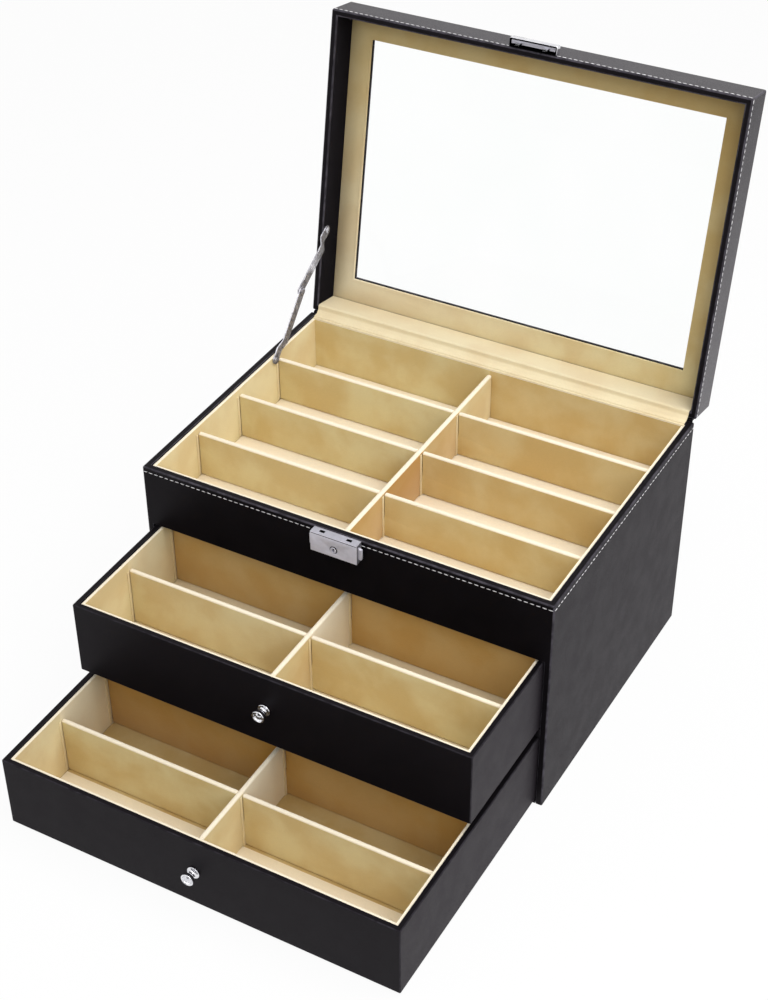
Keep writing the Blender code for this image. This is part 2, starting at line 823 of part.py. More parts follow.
def make_lock(chrome, steel):
    lock = empty("lock_frame", (0, CASE_FRONT - BOARD_GAP, RIM_Z - LOCK_DROP))
    half = LOCK_WIDTH / 2
    housing = board(
        "lock_housing",
        (-half, -LOCK_DEPTH, -LOCK_HEIGHT),
        (half, 0, 0),
        chrome,
        lock,
        covered=("-Y", "-X", "+X", "+Z", "-Z"),
        radius=LOCK_ROUND,
    )
    pocket_back = -POCKET_BACK_WALL
    pocket_front = pocket_back - POCKET_DEPTH
    pocket_top = -POCKET_BELOW_TOP
    pocket_bottom = pocket_top - POCKET_HEIGHT
    pocket_middle = (pocket_top + pocket_bottom) / 2
    bore_z = -CYLINDER_BELOW_TOP
    outwards = (math.radians(90), 0, 0)
    collar = solid(
        "lock_collar_helper",
        turned_mesh(
            [
                (0, -OVERRUN),
                (COLLAR_RADIUS, -OVERRUN),
                (COLLAR_RADIUS, COLLAR_PROUD / 2),
                (COLLAR_RADIUS - COLLAR_PROUD, COLLAR_PROUD),
                (0, COLLAR_PROUD),
            ],
            ROUND_STEPS,
        ),
        chrome,
        lock,
        (0, -LOCK_DEPTH, bore_z),
        outwards,
    )
    combine(housing, collar, "UNION")
    bore_radius = CYLINDER_RADIUS + LOCK_GAP
    bore = solid(
        "lock_bore_cutter",
        turned_mesh(
            [(0, -BORE_DEPTH), (bore_radius, -BORE_DEPTH), (bore_radius, OVERRUN), (0, OVERRUN)],
            ROUND_STEPS,
        ),
        chrome,
        lock,
        (0, -LOCK_DEPTH, bore_z),
        outwards,
    )
    combine(housing, bore, "DIFFERENCE")

    slot_half = PRONG_WIDTH / 2 + SLOT_GAP
    slot_deep = PRONG_THICKNESS / 2 + SLOT_GAP
    slot_y = (pocket_back + pocket_front) / 2
    for side, word in ((-1, "left"), (1, "right")):
        ends = sorted((side * LOCK_CORE_HALF, side * (half + OVERRUN)))
        pocket = block(
            f"lock_pocket_{word}_cutter",
            (ends[0], pocket_front, pocket_bottom),
            (ends[1], pocket_back, pocket_top),
            chrome,
            lock,
        )
        combine(housing, pocket, "DIFFERENCE")
        slot_x = side * PRONG_SPACING / 2
        slot = block(
            f"lock_slot_{word}_cutter",
            (slot_x - slot_half, slot_y - slot_deep, pocket_top - OVERRUN),
            (slot_x + slot_half, slot_y + slot_deep, OVERRUN),
            chrome,
            lock,
        )
        combine(housing, slot, "DIFFERENCE")
        button = prism(
            f"lock_button_{word}",
            button_outline(side),
            "Y",
            pocket_front + LOCK_GAP,
            pocket_back - LOCK_GAP,
            chrome,
            lock,
        )
        soften(button, BOARD_EDGE)
        tube(
            f"lock_spring_{word}",
            spring_points(side),
            SPRING_WIRE,
            steel,
            lock,
            (0, slot_y, pocket_middle),
        )

    cylinder_face = COLLAR_PROUD + CYLINDER_PROUD
    cylinder = solid(
        "lock_cylinder",
        turned_mesh(
            [
                (0, -BORE_DEPTH + LOCK_GAP),
                (CYLINDER_RADIUS, -BORE_DEPTH + LOCK_GAP),
                (CYLINDER_RADIUS, COLLAR_PROUD),
                (CYLINDER_RADIUS - CYLINDER_PROUD, cylinder_face),
                (0, cylinder_face),
            ],
            ROUND_STEPS,
        ),
        steel,
        lock,
        (0, -LOCK_DEPTH, bore_z),
        outwards,
    )
    keyhole = block(
        "keyhole_cutter",
        (-KEYHOLE_WIDTH / 2, -LOCK_DEPTH - cylinder_face - OVERRUN, bore_z - KEYHOLE_HEIGHT / 2),
        (KEYHOLE_WIDTH / 2, -LOCK_DEPTH + KEYHOLE_DEPTH, bore_z + KEYHOLE_HEIGHT / 2),
        steel,
        lock,
    )
    combine(cylinder, keyhole, "DIFFERENCE")


def make_hasp(chrome, lid):
    """A folded channel on the lid front, open below, with two prongs that enter the lock."""
    face = LID_FRONT - BOARD_GAP
    half = LOCK_WIDTH / 2
    bottom = LID_RIM + LOCK_DROP
    top = bottom + HASP_HEIGHT
    hasp = board(
        "hasp",
        (-half, face - LOCK_DEPTH, bottom),
        (half, face, top),
        chrome,
        lid,
        covered=("-Y", "-X", "+X", "+Z"),
        radius=LOCK_ROUND,
    )
    hollow = block(
        "hasp_hollow_cutter",
        (-half + HASP_SHEET, face - LOCK_DEPTH + HASP_SHEET, bottom - OVERRUN),
        (half - HASP_SHEET, face - HASP_SHEET, top - HASP_SHEET),
        chrome,
        lid,
    )
    combine(hasp, hollow, "DIFFERENCE")
    prong_y = face - POCKET_BACK_WALL - POCKET_DEPTH / 2
    tip = LID_RIM - PRONG_REACH
    root = top - HASP_SHEET / 2
    narrow = PRONG_WIDTH / 2 - PRONG_TAPER
    for side, word in ((-1, "left"), (1, "right")):
        middle = side * PRONG_SPACING / 2
        outline = (
            (middle - PRONG_WIDTH / 2, root),
            (middle - PRONG_WIDTH / 2, tip + PRONG_TAPER),
            (middle - narrow, tip),
            (middle + narrow, tip),
            (middle + PRONG_WIDTH / 2, tip + PRONG_TAPER),
            (middle + PRONG_WIDTH / 2, root),
        )
        prong = prism(
            f"hasp_prong_{word}_helper",
            outline,
            "Y",
            prong_y - PRONG_THICKNESS / 2,
            prong_y + PRONG_THICKNESS / 2,
            chrome,
            lid,
        )
        combine(hasp, prong, "UNION")


# The folding stay


def stay_places():
    """The stay's pivots and its elbow in (Y, Z), as it stands with the lid open."""
    case_pivot = Vector(
        (PIVOT_Y - STAY_CASE_PIVOT_FORWARD, RIM_Z - STAY_CASE_PIVOT_BELOW_RIM)
    )
    lid_pivot = Vector(
        on_open_lid(STAY_LID_PIVOT_FORWARD, LID_RIM + STAY_LID_PIVOT_ABOVE_RIM)
    )
    direction = (lid_pivot - case_pivot).normalized()
    left = Vector((-direction.y, direction.x))
    elbow = case_pivot + direction * STAY_ELBOW_ALONG + left * STAY_ELBOW_RISE
    return case_pivot, lid_pivot, elbow


def stay_stations(length):
    """Stations along an arm, as (distance, half width, share of the joggle)."""
    half = STAY_ARM_WIDTH / 2
    eye = STAY_EYE_RADIUS
    open_angle = 180 - math.degrees(math.asin(half / eye))
    stations = []
    for step in range(6):
        angle = math.radians(12 + (open_angle - 12) * step / 5)
        stations.append((-eye * math.cos(angle), eye * math.sin(angle), 0.0))
    stations.append((STAY_JOGGLE_START, half, 0.0))
    stations.append((STAY_JOGGLE_START + STAY_JOGGLE, half, 1.0))
    for distance, width, _ in reversed(stations[:6]):
        stations.append((length - distance, width, 1.0))
    return stations


def make_arm(name, pivot, target, plane, working_plane, steel):
    """A flat arm from its fixed pivot to the elbow, stepping over to its working plane."""
    span = target - pivot
    bm = bmesh.new()
    sections = []
    for distance, half, share in stay_stations(span.length):
        x = (working_plane - plane) * share
        corners = (
            (x, distance, -half),
            (x, distance, half),
            (x + STAY_SHEET, distance, half),
            (x + STAY_SHEET, distance, -half),
        )
        sections.append([bm.verts.new(corner) for corner in corners])
    for section, following in zip(sections, sections[1:]):
        for corner in range(4):
            beside = (corner + 1) % 4
            bm.faces.new(
                (section[corner], section[beside], following[beside], following[corner])
            )
    bm.faces.new(sections[0])
    bm.faces.new(sections[-1])
    turn = (math.atan2(span.y, span.x), 0, 0)
    return solid(name, bm, steel, None, (plane, *pivot), turn)


def pin_hole(arm, name, x, place, steel):
    radius = STAY_HOLE_RADIUS
    length = 2 * STAY_SHEET
    profile = [(0, -length), (radius, -length), (radius, length), (0, length)]
    cutter = solid(
        name,
        turned_mesh(profile, SMALL_ROUND_STEPS),
        steel,
        None,
        (x, *place),
        (0, math.radians(90), 0),
    )
    combine(arm, cutter, "DIFFERENCE")


def domed_pin(name, x, place, shank, steel, parent=None):
    """A domed head facing +X over a short shank that runs back from it."""
    profile = [(0, -shank), (STAY_PIN_RADIUS, -shank), (STAY_PIN_RADIUS, 0)]
    profile += [(STAY_HEAD_RADIUS, 0), (STAY_HEAD_RADIUS, STAY_HEAD / 3)]
    profile += [(STAY_HEAD_RADIUS * 2 / 3, STAY_HEAD * 3 / 4), (0, STAY_HEAD)]
    return solid(
        name,
        turned_mesh(profile, SMALL_ROUND_STEPS),
        steel,
        parent,
        (x, *place),
        (0, math.radians(90), 0),
    )


def make_stay(steel):
    case_pivot, lid_pivot, elbow = stay_places()
    lid_plane = -CASE_INNER_HALF + STAY_GAP
    case_plane = -CASE_INNER_HALF + BOARD_GAP + LINING + STAY_GAP
    upper_working = case_plane - BOARD_GAP + STAY_LAYER - STAY_SHEET
    lower_working = upper_working + STAY_SHEET + STAY_GAP
    lower = make_arm("stay_lower_arm", case_pivot, elbow, case_plane, lower_working, steel)
    upper = make_arm("stay_upper_arm", lid_pivot, elbow, lid_plane, upper_working, steel)
    middle = STAY_SHEET / 2
    pin_hole(lower, "stay_lower_eye_cutter", case_plane + middle, case_pivot, steel)
    pin_hole(lower, "stay_elbow_eye_cutter", lower_working + middle, elbow, steel)
    pin_hole(upper, "stay_upper_eye_cutter", lid_plane + middle, lid_pivot, steel)
    shank = STAY_SHEET + STAY_GAP
    domed_pin("stay_lower_screw", case_plane + shank, case_pivot, shank, steel)
    domed_pin("stay_upper_screw", lid_plane + shank, lid_pivot, shank, steel)
    domed_pin("stay_elbow_rivet", lower_working + shank, elbow, shank, steel)


def main():
    clear_scene()
    leather = finish_material("black_leatherette", (0.012, 0.011, 0.012), 0.45)
    suede = finish_material("cream_suede", (0.72, 0.56, 0.30), 0.95)
    glass = finish_material("window_glass", (0.95, 0.97, 0.97), 0.02, alpha=0.25)
    chrome = finish_material("chrome", (0.72, 0.72, 0.74), 0.12, metallic=1.0)
    steel = finish_material("plated_steel", (0.55, 0.55, 0.57), 0.30, metallic=1.0)
    make_case(leather)
    make_fittings(
        "tray",
        CASE_INNER_HALF,
        CASE_FRONT + WALL,
        CASE_BACK - WALL,
        TRAY_BOARD_Z + TRAY_BOARD,
        RIM_Z,
        TRAY_DIVIDER_DROP,
        suede,
        None,
    )
    make_drawer("top_drawer", TOP_DRAWER_HELD, TOP_DRAWER_Z, leather, suede, chrome, steel)
    make_drawer("bottom_drawer", BOTTOM_DRAWER_HELD, BOTTOM_DRAWER_Z, leather, suede, chrome, steel)
    lid = make_lid(leather, suede, glass)
    make_hinge(leather, suede)
    make_lock(chrome, steel)
    make_hasp(chrome, lid)
    make_stay(steel)


main()
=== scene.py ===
import json
import math

import bmesh
import bpy
from mathutils import Matrix, Vector

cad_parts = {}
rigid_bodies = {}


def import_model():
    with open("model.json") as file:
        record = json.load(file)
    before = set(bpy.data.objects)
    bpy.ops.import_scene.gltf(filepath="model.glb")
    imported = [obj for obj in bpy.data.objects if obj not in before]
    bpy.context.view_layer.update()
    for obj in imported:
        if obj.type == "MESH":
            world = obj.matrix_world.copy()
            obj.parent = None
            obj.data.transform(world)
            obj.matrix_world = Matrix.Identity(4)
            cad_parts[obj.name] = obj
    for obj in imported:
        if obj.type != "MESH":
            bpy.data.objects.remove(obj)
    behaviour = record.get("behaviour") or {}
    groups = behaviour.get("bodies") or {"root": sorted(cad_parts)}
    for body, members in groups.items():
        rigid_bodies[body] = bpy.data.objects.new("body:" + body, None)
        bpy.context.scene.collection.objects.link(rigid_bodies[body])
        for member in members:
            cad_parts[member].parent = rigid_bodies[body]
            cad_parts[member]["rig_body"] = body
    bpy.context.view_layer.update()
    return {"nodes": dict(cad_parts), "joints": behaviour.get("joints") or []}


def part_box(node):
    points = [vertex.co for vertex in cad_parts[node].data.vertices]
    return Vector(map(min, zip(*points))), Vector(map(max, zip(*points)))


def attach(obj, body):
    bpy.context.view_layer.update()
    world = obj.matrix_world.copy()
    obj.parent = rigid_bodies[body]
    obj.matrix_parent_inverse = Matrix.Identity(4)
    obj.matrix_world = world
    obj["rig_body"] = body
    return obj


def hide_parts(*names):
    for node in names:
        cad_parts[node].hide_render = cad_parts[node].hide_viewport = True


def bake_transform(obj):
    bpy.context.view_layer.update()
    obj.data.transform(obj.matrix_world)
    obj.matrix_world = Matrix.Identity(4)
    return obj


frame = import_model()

scene = bpy.context.scene
nodes = frame["nodes"]
print("frame loaded:", len(nodes), "nodes")


def mm(*values):
    scaled = tuple(value * 0.001 for value in values)
    return scaled[0] if len(scaled) == 1 else scaled


def toLinear(text):  # a six-digit hex colour, as a screen shows it
    parts = [int(text[i:i + 2], 16) / 255 for i in (0, 2, 4)]
    return tuple(p / 12.92 if p <= 0.04045 else ((p + 0.055) / 1.055) ** 2.4 for p in parts) + (1.0,)


# shader helpers

def fill(tree, node, inputs):
    for key, value in inputs.items():
        if isinstance(value, bpy.types.NodeSocket):
            tree.links.new(value, node.inputs[key])
        else:
            node.inputs[key].default_value = value
    return node


def put(tree, kind, inputs=None, **settings):
    node = tree.nodes.new(kind)
    for key, value in settings.items():
        setattr(node, key, value)
    return fill(tree, node, inputs or {})


def maths(tree, how, first, second=0.0, third=None, clamp=False):
    values = {0: first, 1: second}
    if third is not None:
        values[2] = third
    return put(tree, "ShaderNodeMath", values, operation=how, use_clamp=clamp).outputs[0]


def times(tree, first, second, clamp=False):
    return maths(tree, "MULTIPLY", first, second, clamp=clamp)


def larger(tree, first, second):
    return maths(tree, "MAXIMUM", first, second)


def addScaled(tree, value, share, rest):
    return maths(tree, "MULTIPLY_ADD", value, share, rest)


def mixColours(tree, share, first, second, how="MIX"):
    node = put(tree, "ShaderNodeMix", {0: share, 6: first, 7: second}, data_type="RGBA", blend_type=how)
    return node.outputs[2]


def spread(tree, value, low, high, toLow=0.0, toHigh=1.0, soft=True):
    kind = "SMOOTHSTEP" if soft else "LINEAR"
    inputs = {"Value": value, "From Min": low, "From Max": high, "To Min": toLow, "To Max": toHigh}
    return put(tree, "ShaderNodeMapRange", inputs, interpolation_type=kind).outputs["Result"]


def noise(tree, vector, scale, detail, **more):
    inputs = {"Vector": vector, "Scale": scale, "Detail": detail}
    inputs.update({key.title(): value for key, value in more.items()})
    return put(tree, "ShaderNodeTexNoise", inputs).outputs


def leaned(tree, vector, turn, stretch):
    inputs = {"Vector": vector, "Rotation": turn, "Scale": stretch}
    return put(tree, "ShaderNodeMapping", inputs).outputs[0]


def attribute(tree, name):
    return put(tree, "ShaderNodeAttribute", attribute_name=name).outputs["Fac"]


def addBump(tree, shader, strength, deep, height):
    bump = put(tree, "ShaderNodeBump", {"Strength": strength, "Distance": deep, "Height": height})
    fill(tree, shader, {"Normal": bump.outputs["Normal"]})


def newGroup(name, wanted, given):
    tree = bpy.data.node_groups.new(name, "ShaderNodeTree")
    for label, kind, value in wanted:
        socket = tree.interface.new_socket(label, in_out="INPUT", socket_type="NodeSocket" + kind)
        if kind != "Vector":
            socket.default_value = value
    for label in given:
        tree.interface.new_socket(label, in_out="OUTPUT", socket_type="NodeSocketFloat")
    return tree, tree.nodes.new("NodeGroupInput").outputs, tree.nodes.new("NodeGroupOutput")


def useGroup(tree, group, **values):
    inputs = {key.title(): value for key, value in values.items()}
    return put(tree, "ShaderNodeGroup", inputs, node_tree=group).outputs


# pebbled leather: small cells with soft creases, over a slow unevenness of the board below
grainLook = {"warp": 700.0, "push": 0.0006, "uneven": 0.95, "creaseWide": 0.34, "swellRough": 0.55,
             "fine": 4200.0, "swellShare": 0.5, "fineShare": 0.25}
leatherGrain, given, out = newGroup(
    "leatherGrain",
    [("Vector", "Vector", None), ("Cells", "Float", 1500.0), ("Swell", "Float", 60.0)],
    ["Height", "Crease", "Tone"],
)
warp = noise(leatherGrain, given["Vector"], grainLook["warp"], 2.0)["Color"]
pushed = put(leatherGrain, "ShaderNodeVectorMath", {0: warp, 1: (0.5, 0.5, 0.5)}, operation="SUBTRACT")
pushed = put(leatherGrain, "ShaderNodeVectorMath", {0: pushed.outputs[0], "Scale": grainLook["push"]},
             operation="SCALE")
moved = put(leatherGrain, "ShaderNodeVectorMath", {0: given["Vector"], 1: pushed.outputs[0]},
            operation="ADD")
cells = put(leatherGrain, "ShaderNodeTexVoronoi", {
    "Vector": moved.outputs[0], "Scale": given["Cells"], "Randomness": grainLook["uneven"],
}, feature="DISTANCE_TO_EDGE")
pebble = spread(leatherGrain, cells.outputs["Distance"], 0.0, grainLook["creaseWide"])
slow = noise(leatherGrain, given["Vector"], given["Swell"], 3.0, roughness=grainLook["swellRough"])["Fac"]
fine = noise(leatherGrain, given["Vector"], grainLook["fine"], 1.0)["Fac"]
raised = addScaled(leatherGrain, slow, grainLook["swellShare"], pebble)
raised = addScaled(leatherGrain, fine, grainLook["fineShare"], raised)
crease = maths(leatherGrain, "SUBTRACT", 1.0, pebble)
fill(leatherGrain, out, {"Height": raised, "Crease": crease, "Tone": slow})

# wear on rounded edges, which also paints a highlight line along them: an attribute says where, a noise breaks
# it up
rubLook = {"patch": 140.0, "patchRough": 0.6, "bare": (0.35, 0.68), "least": 0.35}
edgeRubAndHighlight, given, out = newGroup(
    "edgeRubAndHighlight",
    [("Vector", "Vector", None), ("Edge", "Float", 0.0), ("Amount", "Float", 0.5)],
    ["Mask"],
)
patch = noise(edgeRubAndHighlight, given["Vector"], rubLook["patch"], 4.0, roughness=rubLook["patchRough"])["Fac"]
patch = times(edgeRubAndHighlight, spread(edgeRubAndHighlight, patch, *rubLook["bare"], rubLook["least"]), given["Edge"])
fill(edgeRubAndHighlight, out, {"Mask": times(edgeRubAndHighlight, patch, given["Amount"], clamp=True)})

# the nap of suede: cloudy where it was brushed, with short slanting fibres
napLook = {"lean": (0.5, 0.6, 0.35), "stretch": (0.45, 1.0, 1.5), "specks": 3600.0, "swell": 28.0,
           "cloudRough": 0.5, "cloudTwist": 0.2, "fibreRough": 0.7,
           "fibreShare": 0.8, "speckShare": 0.5, "swellShare": 5.0, "fleckShare": 0.5}
suedeNap, given, out = newGroup(
    "suedeNap",
    [("Vector", "Vector", None), ("Clouds", "Float", 45.0), ("Fibres", "Float", 900.0)],
    ["Height", "Cloud", "Fleck"],
)
slant = leaned(suedeNap, given["Vector"], napLook["lean"], napLook["stretch"])
cloud = noise(suedeNap, given["Vector"], given["Clouds"], 3.0, roughness=napLook["cloudRough"],
              distortion=napLook["cloudTwist"])["Fac"]
fibre = noise(suedeNap, slant, given["Fibres"], 3.0, roughness=napLook["fibreRough"])["Fac"]
speck = noise(suedeNap, given["Vector"], napLook["specks"], 1.0)["Fac"]
swell = noise(suedeNap, given["Vector"], napLook["swell"], 1.0)["Fac"]
pile = addScaled(suedeNap, fibre, napLook["fibreShare"], times(suedeNap, speck, napLook["speckShare"]))
pile = addScaled(suedeNap, swell, napLook["swellShare"], pile)
fleck = addScaled(suedeNap, speck, napLook["fleckShare"], times(suedeNap, fibre, napLook["fleckShare"]))
fill(suedeNap, out, {"Height": pile, "Cloud": cloud, "Fleck": fleck})

# plated metal: faint wipe marks and a slow ripple left by polishing
markLook = {"lean": (0.3, 0.2, 0.7), "stretch": (0.15, 1.0, 1.0), "streak": 5200.0, "smearShare": 2.0,
            "dull": (0.3, 0.75)}
platedMarks, given, out = newGroup(
    "platedMarks",
    [("Vector", "Vector", None), ("Wipe", "Float", 220.0)],
    ["Roughness", "Height", "Dull"],
)
drawn = leaned(platedMarks, given["Vector"], markLook["lean"], markLook["stretch"])
streak = noise(platedMarks, drawn, markLook["streak"], 2.0)["Fac"]
smear = noise(platedMarks, given["Vector"], given["Wipe"], 3.0)["Fac"]
fill(platedMarks, out, {
    "Dull": spread(platedMarks, smear, *markLook["dull"]),
    "Roughness": times(platedMarks, streak, smear),
    "Height": addScaled(platedMarks, smear, markLook["smearShare"], streak),
})


def newMaterial(name):
    material = bpy.data.materials.new(name)
    material.use_nodes = True
    tree = material.node_tree
    place = put(tree, "ShaderNodeTexCoord").outputs["Object"]
    return material, tree, tree.nodes["Principled BSDF"], place


def makeLeather(name, look):
    material, tree, shader, place = newMaterial(name)
    grain = useGroup(tree, leatherGrain, vector=place, cells=look["cells"], swell=look["swell"])
    worn = attribute(tree, "worn")
    rub = useGroup(tree, edgeRubAndHighlight, vector=place, edge=worn, amount=look["rub"])["Mask"]
    tone = spread(tree, grain["Tone"], *look["toneSpan"])
    base = mixColours(tree, tone, toLinear(look["dark"]), toLinear(look["light"]))
    base = mixColours(tree, times(tree, grain["Crease"], look["creased"]), base, toLinear(look["crease"]))
    # rounded edges painted lighter: partly wear, partly a painted highlight line
    base = mixColours(tree, rub, base, toLinear(look["rubAndHighlightColour"]))
    rough = addScaled(tree, grain["Crease"], look["roughCrease"], look["roughness"])
    rough = addScaled(tree, tone, look["roughTone"], rough)
    rough = addScaled(tree, rub, look["roughRub"], rough)
    addBump(tree, shader, look["bump"], look["grainDeep"], grain["Height"])
    if look["coat"]:
        dapple = spread(tree, grain["Crease"], 0.0, 1.0, 1.0, look["dapple"], soft=False)
        coat = times(tree, times(tree, attribute(tree, "coated"), dapple), look["coat"])
        fill(tree, shader, {"Coat Weight": coat})
    cast = toLinear(look["cast"])
    fill(tree, shader, {
        "Base Color": base, "Roughness": rough, "Specular IOR Level": look["gloss"],
        "Coat Roughness": look["coatRoughness"], "Coat IOR": look["coatIor"],
        "Sheen Weight": look["sheen"], "Sheen Roughness": look["sheenRoughness"],
        "Specular Tint": cast, "Sheen Tint": cast, "Coat Tint": cast,
    })
    return material


def makeSuede(name, look):
    material, tree, shader, place = newMaterial(name)
    nap = useGroup(tree, suedeNap, vector=place, clouds=look["clouds"], fibres=look["fibres"])
    cloudy = spread(tree, nap["Cloud"], *look["cloudSpan"])
    base = mixColours(tree, cloudy, toLinear(look["deep"]), toLinear(look["pale"]))
    # painted light and painted shade: two attributes mix the suede towards a paler lit colour and a deeper
    # shaded colour
    base = mixColours(tree, attribute(tree, "raised"), base, toLinear(look["paintedLightColour"]))
    base = mixColours(tree, attribute(tree, "sunk"), base, toLinear(look["sunk"]))
    fleck = spread(tree, nap["Fleck"], *look["fleckSpan"], soft=False)
    grey = put(tree, "ShaderNodeCombineColor", {0: fleck, 1: fleck, 2: fleck}).outputs[0]
    base = mixColours(tree, 1.0, base, grey, "MULTIPLY")
    path = put(tree, "ShaderNodeLightPath").outputs
    mirrored = times(tree, path["Is Glossy Ray"], maths(tree, "SUBTRACT", 1.0, path["Is Transmission Ray"]))
    greyed = times(tree, mirrored, look["greyed"])  # in reflections the suede is shown greyed: a painted reflection
    base = mixColours(tree, greyed, base, toLinear(look["mirrored"]))
    addBump(tree, shader, look["bump"], look["napDeep"], nap["Height"])
    fill(tree, shader, {
        "Base Color": base, "Roughness": spread(tree, nap["Cloud"], *look["roughSpan"]),
        "Specular IOR Level": look["gloss"], "Sheen Weight": look["sheen"],
        "Sheen Roughness": look["sheenRoughness"], "Sheen Tint": toLinear(look["sheenTint"]),
    })
    return material


def makeMetal(name, look):
    material, tree, shader, place = newMaterial(name)
    marks = useGroup(tree, platedMarks, vector=place, wipe=look["wipe"])
    base = mixColours(tree, marks["Dull"], toLinear(look["bright"]), toLinear(look["dull"]))
    # painted shade: an attribute darkens the metal towards near-black in hollows and on some faces
    base = mixColours(tree, attribute(tree, "inside"), base, toLinear(look["inside"]))
    rough = addScaled(tree, marks["Roughness"], look["roughSpread"], look["roughness"])
    addBump(tree, shader, look["bump"], look["markDeep"], marks["Height"])
    fill(tree, shader, {"Base Color": base, "Roughness": rough, "Metallic": look["metallic"]})
    return material


def makeThread(name, look):
    material, tree, shader, place = newMaterial(name)
    inputs = {"Vector": place, "Scale": look["ply"], "Distortion": look["twist"], "Detail": 1.0}
    ply = put(tree, "ShaderNodeTexWave", inputs, bands_direction="DIAGONAL").outputs["Fac"]
    share = times(tree, ply, noise(tree, place, look["fuzz"], 2.0)["Fac"])
    addBump(tree, shader, look["bump"], look["plyDeep"], ply)
    fill(tree, shader, {
        "Base Color": mixColours(tree, share, toLinear(look["shade"]), toLinear(look["light"])),
        "Roughness": look["roughness"], "Sheen Weight": look["sheen"],
    })
    return material


def makeGlass(name, look):
    material, tree, shader, place = newMaterial(name)
    haze = noise(tree, place, look["clouds"], 3.0)["Fac"]
    fill(tree, shader, {
        "Roughness": spread(tree, haze, *look["hazeSpan"], 0.0, look["haze"]),
        "Base Color": mixColours(tree, haze, toLinear(look["clear"]), toLinear(look["tint"])),
        "Transmission Weight": 1.0, "IOR": look["bends"], "Specular IOR Level": look["gloss"],
    })
    return material


# the grey edge colour stands for both wear and a painted highlight line
leatherLook = {
    "dark": "060506", "light": "0b090b", "crease": "030203", "rubAndHighlightColour": "55525a", "cast": "f3e4f6",
    "cells": 1500.0, "swell": 55.0, "rub": 0.8, "creased": 0.55, "bump": 0.12, "grainDeep": 0.00012,
    "roughness": 0.40, "roughCrease": 0.12, "roughTone": 0.06, "roughRub": -0.10, "gloss": 0.1,
    "coat": 0.0, "coatRoughness": 0.3, "coatIor": 1.5, "dapple": 0.55, "sheen": 0.05, "sheenRoughness": 0.4,
    "toneSpan": (0.3, 0.7),
}
# the lid's base is a little lighter than the case's: painted light, as the same leather covers both
lidLeatherLook = dict(leatherLook, dark="0a090a", light="151316", bump=0.8, coat=1.0, coatRoughness=0.52,
                      coatIor=2.5, sheen=0.03)
drawerLeatherLook = dict(leatherLook, rub=0.3, sheen=0.08)
paperLook = dict(leatherLook, dark="0b0a0b", light="131214", bump=0.15, rub=0.2, cells=2600.0)
# the pale cream colour is painted light and the deep golden one painted shade; the lid frame's copy has a
# greyer painted shade
suedeLook = {
    "deep": "d3bb82", "pale": "dfd09f", "paintedLightColour": "f8ecd4", "sunk": "b37b10", "mirrored": "505052",
    "greyed": 0.9, "clouds": 26.0, "fibres": 1100.0, "bump": 0.4, "napDeep": 0.00009, "gloss": 0.12,
    "sheen": 0.45, "sheenRoughness": 0.45, "sheenTint": "fff3df", "cloudSpan": (0.33, 0.67),
    "fleckSpan": (0.3, 0.7, 0.93, 1.04), "roughSpan": (0.3, 0.7, 0.86, 0.97),
}
lidSuedeLook = dict(suedeLook, sunk="9b7a3d")
# the near-black colour is the metal's painted shade
chromeLook = {
    "metallic": 1.0, "bright": "e9e9ec", "dull": "d2d2d8", "inside": "0a0a0b", "wipe": 240.0,
    "roughness": 0.05, "roughSpread": 0.16, "bump": 0.12, "markDeep": 0.00004,
}
satinLook = dict(chromeLook, metallic=0.35, bright="dedce8", dull="d5d3df", wipe=300.0, roughness=0.30,
                 roughSpread=0.2, bump=0.15)
steelLook = dict(chromeLook, metallic=0.7, bright="d6d4da", dull="96949b", wipe=320.0, roughness=0.14,
                 roughSpread=0.3, bump=0.3)
threadLook = {"light": "ffffff", "shade": "dcdade", "ply": 900.0, "twist": 2.0, "fuzz": 2500.0, "bump": 0.6,
              "plyDeep": 0.00008, "roughness": 0.75, "sheen": 0.25}
glassLook = {"clear": "ffffff", "tint": "fbfdfc", "haze": 0.02, "hazeSpan": (0.4, 0.8), "clouds": 18.0,
             "bends": 1.12, "gloss": 0.35}

leather = makeLeather("blackLeather", leatherLook)
lidLeather = makeLeather("lidLeather", lidLeatherLook)
drawerLeather = makeLeather("drawerLeather", drawerLeatherLook)
paper = makeLeather("blackPaper", paperLook)
suede = makeSuede("creamSuede", suedeLook)
lidSuede = makeSuede("lidSuede", lidSuedeLook)
chrome = makeMetal("chromePlate", chromeLook)
satin = makeMetal("satinChrome", satinLook)
steel = makeMetal("nickelSteel", steelLook)
thread = makeThread("whiteThread", threadLook)
glass = makeGlass("windowGlass", glassLook)
print("materials ready")


# mesh helpers

meshLook = {"touch": 0.002, "weld": 0.003, "beyond": 20.0, "near": 0.1}
near, far = mm(meshLook["near"]), mm(meshLook["beyond"])
quarterTurn = math.radians(90)


def linkPiece(name, mesh, material):
    mesh.materials.clear()
    mesh.materials.append(material)
    piece = bpy.data.objects.new(name, mesh)
    scene.collection.objects.link(piece)
    return piece


def sharpen(mesh, angle):
    mesh.shade_smooth()
    mesh.set_sharp_from_angle(angle=math.radians(angle))


def toPiece(name, bm, material, sharp=40):
    mesh = bpy.data.meshes.new(name)
    bm.to_mesh(mesh)
    bm.free()
    sharpen(mesh, sharp)
    return linkPiece(name, mesh, material)


def settle(piece):  # what the modifiers show becomes the plain mesh
    bpy.context.view_layer.update()
    shown = piece.evaluated_get(bpy.context.evaluated_depsgraph_get())
    mesh = bpy.data.meshes.new_from_object(shown)
    piece.modifiers.clear()
    piece.data = mesh
    return piece


def ownBy(piece, body, slotName, *stands):
    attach(piece, body)
    if stands:
        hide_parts(*stands)
    return piece


def repaint(material, *names):
    for name in names:
        nodes[name].data.materials.clear()
        nodes[name].data.materials.append(material)


